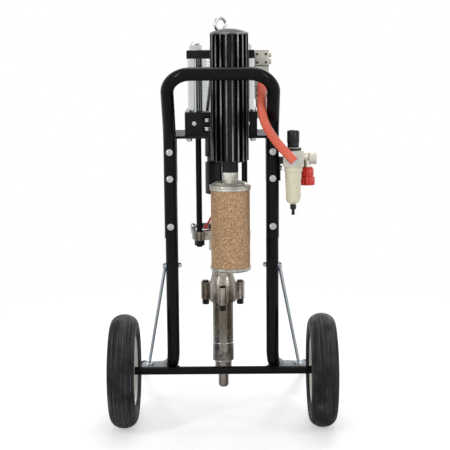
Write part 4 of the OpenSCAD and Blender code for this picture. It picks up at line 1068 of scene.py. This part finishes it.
class SPRAYER_OT_silencer(bpy.types.Operator):
    """Make the silencer's rolled caps and its mesh sleeve"""

    bl_idname = "sprayer.silencer"
    bl_label = "Silencer"

    def execute(self, context):
        low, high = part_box("silencer_sleeve")
        axis = (low + high) / 2
        radius = (high.x - low.x) / 2
        bottom, top = low.z - axis.z, high.z - axis.z
        wall = 3 * MM
        steps = 60
        outside = [(radius - 0.15 * MM * (1 + math.cos(i * 1.7)), bottom + (top - bottom) * i / steps) for i in range(steps + 1)]
        sleeve = bmesh.new()
        lathe(sleeve, outside + [(radius - wall, top), (radius - wall, bottom)], axis, "Z", 128, closed=True)
        piece("mesh_sleeve", sleeve, "cart", "bronze_mesh", ("silencer_sleeve",), 50)
        self.bottom_cap(context)
        self.top_cap(context)
        return {"FINISHED"}

    def bottom_cap(self, context):
        low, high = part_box("silencer_bottom_cap")
        outer = (high.x - low.x) / 2
        sleeve = 58 * MM
        rise = high.z - low.z
        section = [
            (0, 3 * MM), (sleeve - 14 * MM, 3 * MM), (sleeve - 10 * MM, 0), (sleeve - 2 * MM, 0), (outer - 2 * MM, 3 * MM),
            (outer, 5 * MM), (outer, 7.5 * MM), (outer - 1.6 * MM, 8.6 * MM), (outer, 9.8 * MM), (outer, rise - 0.5 * MM),
            (outer - 1.2 * MM, rise), (sleeve + 0.1 * MM, rise), (sleeve + 0.1 * MM, 8 * MM), (0, 8 * MM),
        ]
        cap = bmesh.new()
        centre = (low + high) / 2
        centre.z = low.z
        lathe(cap, filleted(section, 1.2 * MM, 3), centre, "Z", 96)
        piece("bottom_cap", cap, "cart", "cast_grey", ("silencer_bottom_cap",), 40)

    def top_cap(self, context):
        low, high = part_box("silencer_top_cap")
        centre = (low + high) / 2
        centre.z = low.z
        outer = (high.x - low.x) / 2
        sleeve = 58 * MM
        section = [
            (15 * MM, 20 * MM), (22 * MM, 22 * MM), (38 * MM, 23 * MM), (47 * MM, 20.5 * MM), (51 * MM, 17.5 * MM),
            (53 * MM, 16 * MM), (outer - 3 * MM, 15 * MM), (outer, 12.6 * MM), (outer, 9 * MM),
            (outer - 2 * MM, 7.5 * MM), (outer - 1.6 * MM, 2.2 * MM), (outer - 0.4 * MM, 1.2 * MM), (outer - 1 * MM, 0),
            (sleeve + 0.1 * MM, 0), (sleeve + 0.1 * MM, 4 * MM), (sleeve - 8 * MM, 8 * MM), (15 * MM, 14 * MM),
        ]
        cap = bmesh.new()
        lathe(cap, filleted(section, 1.4 * MM, 3), centre, "Z", 96, closed=True)
        hexagon = Vector((centre.x, centre.y, centre.z + 20 * MM))
        prism(cap, 6, 44 * MM, high.z - hexagon.z, hexagon, "Z", 2 * MM, math.radians(8))
        for i in range(3):
            a = math.radians(215 + 14 * i)
            spot = centre + Vector((45 * MM * math.cos(a), 45 * MM * math.sin(a), 20 * MM))
            lathe(cap, filleted([(0, 0), (3 * MM, 0), (3 * MM, 2.6 * MM), (0, 2.6 * MM)], 0.8 * MM, 2), spot, "Z", 16)
        piece("top_cap", cap, "cart", "cast_grey", ("silencer_top_cap",), 35)


class SPRAYER_OT_pump(bpy.types.Operator):
    """Round the fluid pump's castings, bolts, valves and outlet"""

    bl_idname = "sprayer.pump"
    bl_label = "Fluid pump"

    def execute(self, context):
        eased("pump_housing", 2.2 * MM)
        eased("pump_cylinder", 1.0 * MM)
        eased("foot_valve", 0.9 * MM)
        eased("suction_stub", 0.8 * MM)
        eased("pump_fasteners", 0.9 * MM)
        eased("fluid_outlet", 0.6 * MM)
        eased("rod_coupling", 0.8 * MM)
        low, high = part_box("foot_valve")
        centre = (low + high) / 2
        rim = (high.x - low.x) / 2
        bands = bmesh.new()
        for z, wide in ((high.z, 2.2 * MM), (low.z + 1 * MM, 1.6 * MM)):
            ring = [
                (rim - 1 * MM, -wide / 2), (rim + 0.5 * MM, -wide / 2), (rim + 1 * MM, 0),
                (rim + 0.5 * MM, wide / 2), (rim - 1 * MM, wide / 2),
            ]
            lathe(bands, filleted(ring, 0.3 * MM, 2), Vector((centre.x, centre.y, z)), "Z", 64, closed=True)
        piece("pump_bands", bands, "cart", "polished_steel", (), 40)
        return {"FINISHED"}


class SPRAYER_OT_bypass(bpy.types.Operator):
    """Dress the bypass valve's body and its lever's red grip"""

    bl_idname = "sprayer.bypass"
    bl_label = "Bypass valve"

    def execute(self, context):
        eased("bypass_valve", 0.6 * MM)
        eased("bypass_lever", 0.7 * MM)
        return {"FINISHED"}


class SPRAYER_OT_regulator(bpy.types.Operator):
    """Make the regulator's ribbed knob, its filter bowl, gauge and drain"""

    bl_idname = "sprayer.regulator"
    bl_label = "Filter regulator"

    def execute(self, context):
        sizes = context.scene.sprayer_sizes
        eased("regulator_body", 2.2 * MM)
        eased("regulator_bracket", 0.7 * MM)
        self.knob(sizes.knob_ribs)
        self.bowl()
        self.gauge()
        self.drain()
        return {"FINISHED"}

    def knob(self, ribs):
        low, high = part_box("regulator_knob")
        centre = (low + high) / 2
        radius = (high.x - low.x) / 2
        knob = bmesh.new()
        base = Vector((centre.x, centre.y, low.z))
        ribbed(knob, radius, 1.0 * MM, ribs, (high.z - low.z) * 0.86, base + Vector((0, 0, 3 * MM)), 1.6 * MM)
        skirt = [(0, 0.1 * MM), (radius - 0.4 * MM, 0.1 * MM), (radius + 0.3 * MM, 1 * MM), (radius + 0.3 * MM, 4 * MM), (0, 5 * MM)]
        lathe(knob, filleted(skirt, 0.6 * MM, 2), base, "Z", 64)
        crown = [(0, 0), (radius - 4 * MM, 0), (radius - 4 * MM, 1.4 * MM), (0, 2 * MM)]
        lathe(knob, filleted(crown, 0.5 * MM, 2), Vector((centre.x, centre.y, high.z - 2 * MM)), "Z", 48)
        piece("knob_grip", knob, "pressure_knob", "black_plastic", ("regulator_knob",), 30)
        collar = bmesh.new()
        ring = [(18.5 * MM, 0), (24.2 * MM, 0), (24.2 * MM, 7 * MM), (21 * MM, 9.2 * MM), (18.5 * MM, 9.2 * MM)]
        seat = Vector((centre.x, centre.y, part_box("regulator_knob")[0].z - 21.3 * MM))
        lathe(collar, filleted(ring, 0.8 * MM, 2), seat, "Z", 64, closed=True)
        bonnet = [(8.2 * MM, 9.2 * MM), (17 * MM, 9.2 * MM), (17 * MM, 20.6 * MM), (8.2 * MM, 20.8 * MM)]
        lathe(collar, filleted(bonnet, 0.8 * MM, 2), seat, "Z", 64, closed=True)
        piece("panel_ring", collar, "cart", "black_plastic", (), 30)

    def bowl(self):
        low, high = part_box("filter_bowl")
        centre = (low + high) / 2
        base = Vector((centre.x, centre.y, low.z))
        rise = high.z - low.z
        r = 25 * MM
        section = [
            (0, 0), (r - 14 * MM, 0), (r - 6 * MM, 5 * MM), (r - 4 * MM, 13 * MM), (r - 0.6 * MM, rise - 17 * MM),
            (r + 1.6 * MM, rise - 16 * MM), (r + 2 * MM, rise - 14 * MM), (r + 2 * MM, rise - 1 * MM), (r + 1 * MM, rise),
            (r - 3 * MM, rise), (r - 6.5 * MM, 16 * MM), (r - 16 * MM, 5.5 * MM), (0, 5.5 * MM),
        ]
        bowl = bmesh.new()
        lathe(bowl, filleted(section, 1.2 * MM, 3), base, "Z", 96)
        for i in range(8):
            a = FULL_TURN * (i + 0.5) / 8
            foot = base + Vector(((r - 2.6 * MM) * math.cos(a), (r - 2.6 * MM) * math.sin(a), rise / 2 - 1 * MM))
            slab(bowl, (2.2 * MM, 2.2 * MM, rise - 38 * MM), foot, 0.7 * MM)
        piece("bowl", bowl, "cart", "cream_plastic", ("filter_bowl",), 40)

    def gauge(self):
        low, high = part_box("gauge_case")
        centre = Vector((low.x, (low.y + high.y) / 2, (low.z + high.z) / 2))
        radius = (high.z - low.z) / 2
        reach = high.x - low.x
        inner = reach - 11 * MM
        case = bmesh.new()
        section = [
            (1.6 * MM, inner), (radius - 2.6 * MM, inner), (radius - 2.6 * MM, reach - 1.5 * MM), (radius - 2 * MM, reach),
            (radius - 0.6 * MM, reach), (radius, reach - 1 * MM), (radius, reach - 5 * MM), (radius - 1 * MM, reach - 6 * MM),
            (radius - 1 * MM, 18 * MM), (radius - 3 * MM, 16 * MM), (1.6 * MM, 16 * MM),
        ]
        lathe(case, filleted(section, 0.6 * MM, 2), centre, "X", 72, closed=True)
        piece("gauge_shell", case, "cart", "valve_casting", ("gauge_case",), 35)
        stem = bmesh.new()
        prism(stem, 6, 14 * MM, 10 * MM, centre + Vector((4 * MM, 0, 0)), "X", 0.8 * MM)
        neck = [(0, -2 * MM), (5.4 * MM, -2 * MM), (5.4 * MM, 4.5 * MM), (6.2 * MM, 5 * MM), (6.2 * MM, 16.4 * MM), (0, 16.4 * MM)]
        lathe(stem, filleted(neck, 0.3 * MM, 2), centre, "X", 32)
        piece("gauge_stem", stem, "cart", "inlet_brass", (), 35)
        dial = bmesh.new()
        face = [(1.7 * MM, inner - 0.2 * MM), (radius - 2.8 * MM, inner - 0.2 * MM), (radius - 2.8 * MM, inner + 0.35 * MM), (1.7 * MM, inner + 0.35 * MM)]
        lathe(dial, face, centre, "X", 64, closed=True)
        piece("gauge_dial", dial, "cart", "dial_white", (), 35)
        marks = bmesh.new()
        for i in range(31):
            a = math.radians(225 - 270 * i / 30)
            major = i % 5 == 0
            long = (3.4 if major else 1.8) * MM
            r = radius - 3.4 * MM - long / 2
            way = Vector((0, math.cos(a), math.sin(a)))
            made = bmesh.ops.create_cube(marks, size=1, matrix=(
                Matrix.Translation(centre + way * r + Vector((inner + 0.42 * MM, 0, 0)))
                @ Matrix.Rotation(a, 4, "X") @ Matrix.Diagonal((0.16 * MM, long, (0.7 if major else 0.35) * MM, 1))
            ))
        piece("gauge_marks", marks, "cart", "black_plastic", (), 35)
        self.numbers(centre, radius, inner)
        glass = bmesh.new()
        lens = [(0, reach - 2.4 * MM), (radius - 2.7 * MM, reach - 2.4 * MM), (radius - 2.7 * MM, reach - 1.2 * MM), (0, reach - 0.8 * MM)]
        lathe(glass, lens, centre, "X", 64)
        piece("gauge_glass", glass, "cart", "clear_lens", (), 35)

    def numbers(self, centre, radius, inner):
        """Plain numbers from 0 to 12 round the dial."""
        marks = bmesh.new()
        for i in range(0, 7):
            a = math.radians(225 - 270 * i / 6)
            spot = centre + Vector((inner + 0.36 * MM, (radius - 9 * MM) * math.cos(a), (radius - 9 * MM) * math.sin(a)))
            data = bpy.data.curves.new("number", "FONT")
            data.body = str(2 * i)
            data.size = 3.6 * MM
            data.align_x = "CENTER"
            data.align_y = "CENTER"
            data.extrude = 0.08 * MM
            sign = bpy.data.objects.new("number", data)
            bpy.context.scene.collection.objects.link(sign)
            mesh = bpy.data.meshes.new_from_object(sign)
            turn = Matrix(((0, 0, 1), (1, 0, 0), (0, 1, 0))).to_4x4()
            mesh.transform(Matrix.Translation(spot) @ turn)
            marks.from_mesh(mesh)
            bpy.data.objects.remove(sign)
            bpy.data.curves.remove(data)
            bpy.data.meshes.remove(mesh)
        piece("gauge_numbers", marks, "cart", "black_plastic", (), 35)

    def drain(self):
        low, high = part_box("drain_valve")
        centre = (low + high) / 2
        knob = bmesh.new()
        base = Vector((centre.x, centre.y, high.z - 8 * MM))
        ribbed(knob, 9 * MM, 0.7 * MM, 14, 14 * MM, base - Vector((0, 0, 16.4 * MM)), 0.8 * MM)
        stem = [(0, -34 * MM), (4 * MM, -34 * MM), (5 * MM, -33 * MM), (5 * MM, -24 * MM), (4 * MM, -23 * MM), (4 * MM, -21 * MM), (5.4 * MM, -20 * MM), (5.4 * MM, -15 * MM), (0, -15 * MM)]
        lathe(knob, filleted(stem, 0.5 * MM, 2), base, "Z", 40)
        piece("drain_knob", knob, "drain", "black_plastic", ("drain_valve",), 35)


class SPRAYER_OT_inlet(bpy.types.Operator):
    """Make the inlet valve's fittings and its ribbed red knob"""

    bl_idname = "sprayer.inlet"
    bl_label = "Inlet valve"

    def execute(self, context):
        ribs = context.scene.sprayer_sizes.knob_ribs
        eased("inlet_valve", 0.7 * MM)
        low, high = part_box("inlet_knob")
        centre = (low + high) / 2
        radius = (high.x - low.x) / 2
        knob = bmesh.new()
        split = low.z + (high.z - low.z) * 0.46
        wide = Vector((centre.x, centre.y, low.z))
        ribbed(knob, radius, 1.6 * MM, ribs // 2, split - low.z, wide, 1.4 * MM)
        waist = [(0, 0), (radius * 0.78, 0), (radius * 0.78, 3.4 * MM), (0, 3.4 * MM)]
        lathe(knob, filleted(waist, 0.6 * MM, 2), Vector((centre.x, centre.y, split - 0.2 * MM)), "Z", 64)
        top = Vector((centre.x, centre.y, split + 3 * MM))
        ribbed(knob, radius * 0.84, 1.2 * MM, ribs // 2, high.z - top.z - 4 * MM, top, 1.2 * MM)
        neck = [(0, 0), (radius * 0.72, 0), (radius * 0.72, 4 * MM), (0, 4 * MM)]
        lathe(knob, filleted(neck, 0.6 * MM, 2), Vector((centre.x, centre.y, high.z - 4.2 * MM)), "Z", 64)
        piece("inlet_grip", knob, "inlet_control", "red_plastic", ("inlet_knob",), 30)
        return {"FINISHED"}


OPERATORS = (
    SPRAYER_OT_camera, SPRAYER_OT_air_hose, SPRAYER_OT_finishes, SPRAYER_OT_wheels, SPRAYER_OT_bolts,
    SPRAYER_OT_cart, SPRAYER_OT_air_motor, SPRAYER_OT_air_valve, SPRAYER_OT_column, SPRAYER_OT_silencer,
    SPRAYER_OT_pump, SPRAYER_OT_bypass, SPRAYER_OT_regulator, SPRAYER_OT_inlet, SPRAYER_OT_stage,
)


class VIEW3D_PT_sprayer(bpy.types.Panel):
    """Sizes, colours and steps of the sprayer's dressing"""

    bl_label = "Paint sprayer"
    bl_space_type = "VIEW_3D"
    bl_region_type = "UI"
    bl_category = "Sprayer"

    def draw(self, context):
        scene = context.scene
        for group in (scene.sprayer_sizes, scene.sprayer_colours, scene.sprayer_stage):
            box = self.layout.box()
            for name in group.bl_rna.properties.keys():
                if name not in ("name", "rna_type"):
                    box.prop(group, name)
        for step in OPERATORS:
            self.layout.operator(step.bl_idname)


CLASSES = (SprayerColours, SprayerSizes, SprayerStage, *OPERATORS, VIEW3D_PT_sprayer)
GROUPS = {"sprayer_colours": SprayerColours, "sprayer_sizes": SprayerSizes, "sprayer_stage": SprayerStage}


def register():
    for kind in CLASSES:
        bpy.utils.register_class(kind)
    for name, group in GROUPS.items():
        setattr(bpy.types.Scene, name, PointerProperty(type=group))


def unregister():
    for name in GROUPS:
        delattr(bpy.types.Scene, name)
    for kind in reversed(CLASSES):
        bpy.utils.unregister_class(kind)


def main():
    register()
    bpy.ops.sprayer.camera()
    bpy.ops.sprayer.air_hose()
    bpy.ops.sprayer.finishes()
    bpy.ops.sprayer.wheels()
    bpy.ops.sprayer.bolts()
    bpy.ops.sprayer.cart()
    bpy.ops.sprayer.air_motor()
    bpy.ops.sprayer.air_valve()
    bpy.ops.sprayer.column()
    bpy.ops.sprayer.silencer()
    bpy.ops.sprayer.pump()
    bpy.ops.sprayer.bypass()
    bpy.ops.sprayer.regulator()
    bpy.ops.sprayer.inlet()
    bpy.ops.sprayer.stage()


if __name__ == "__main__":
    main()
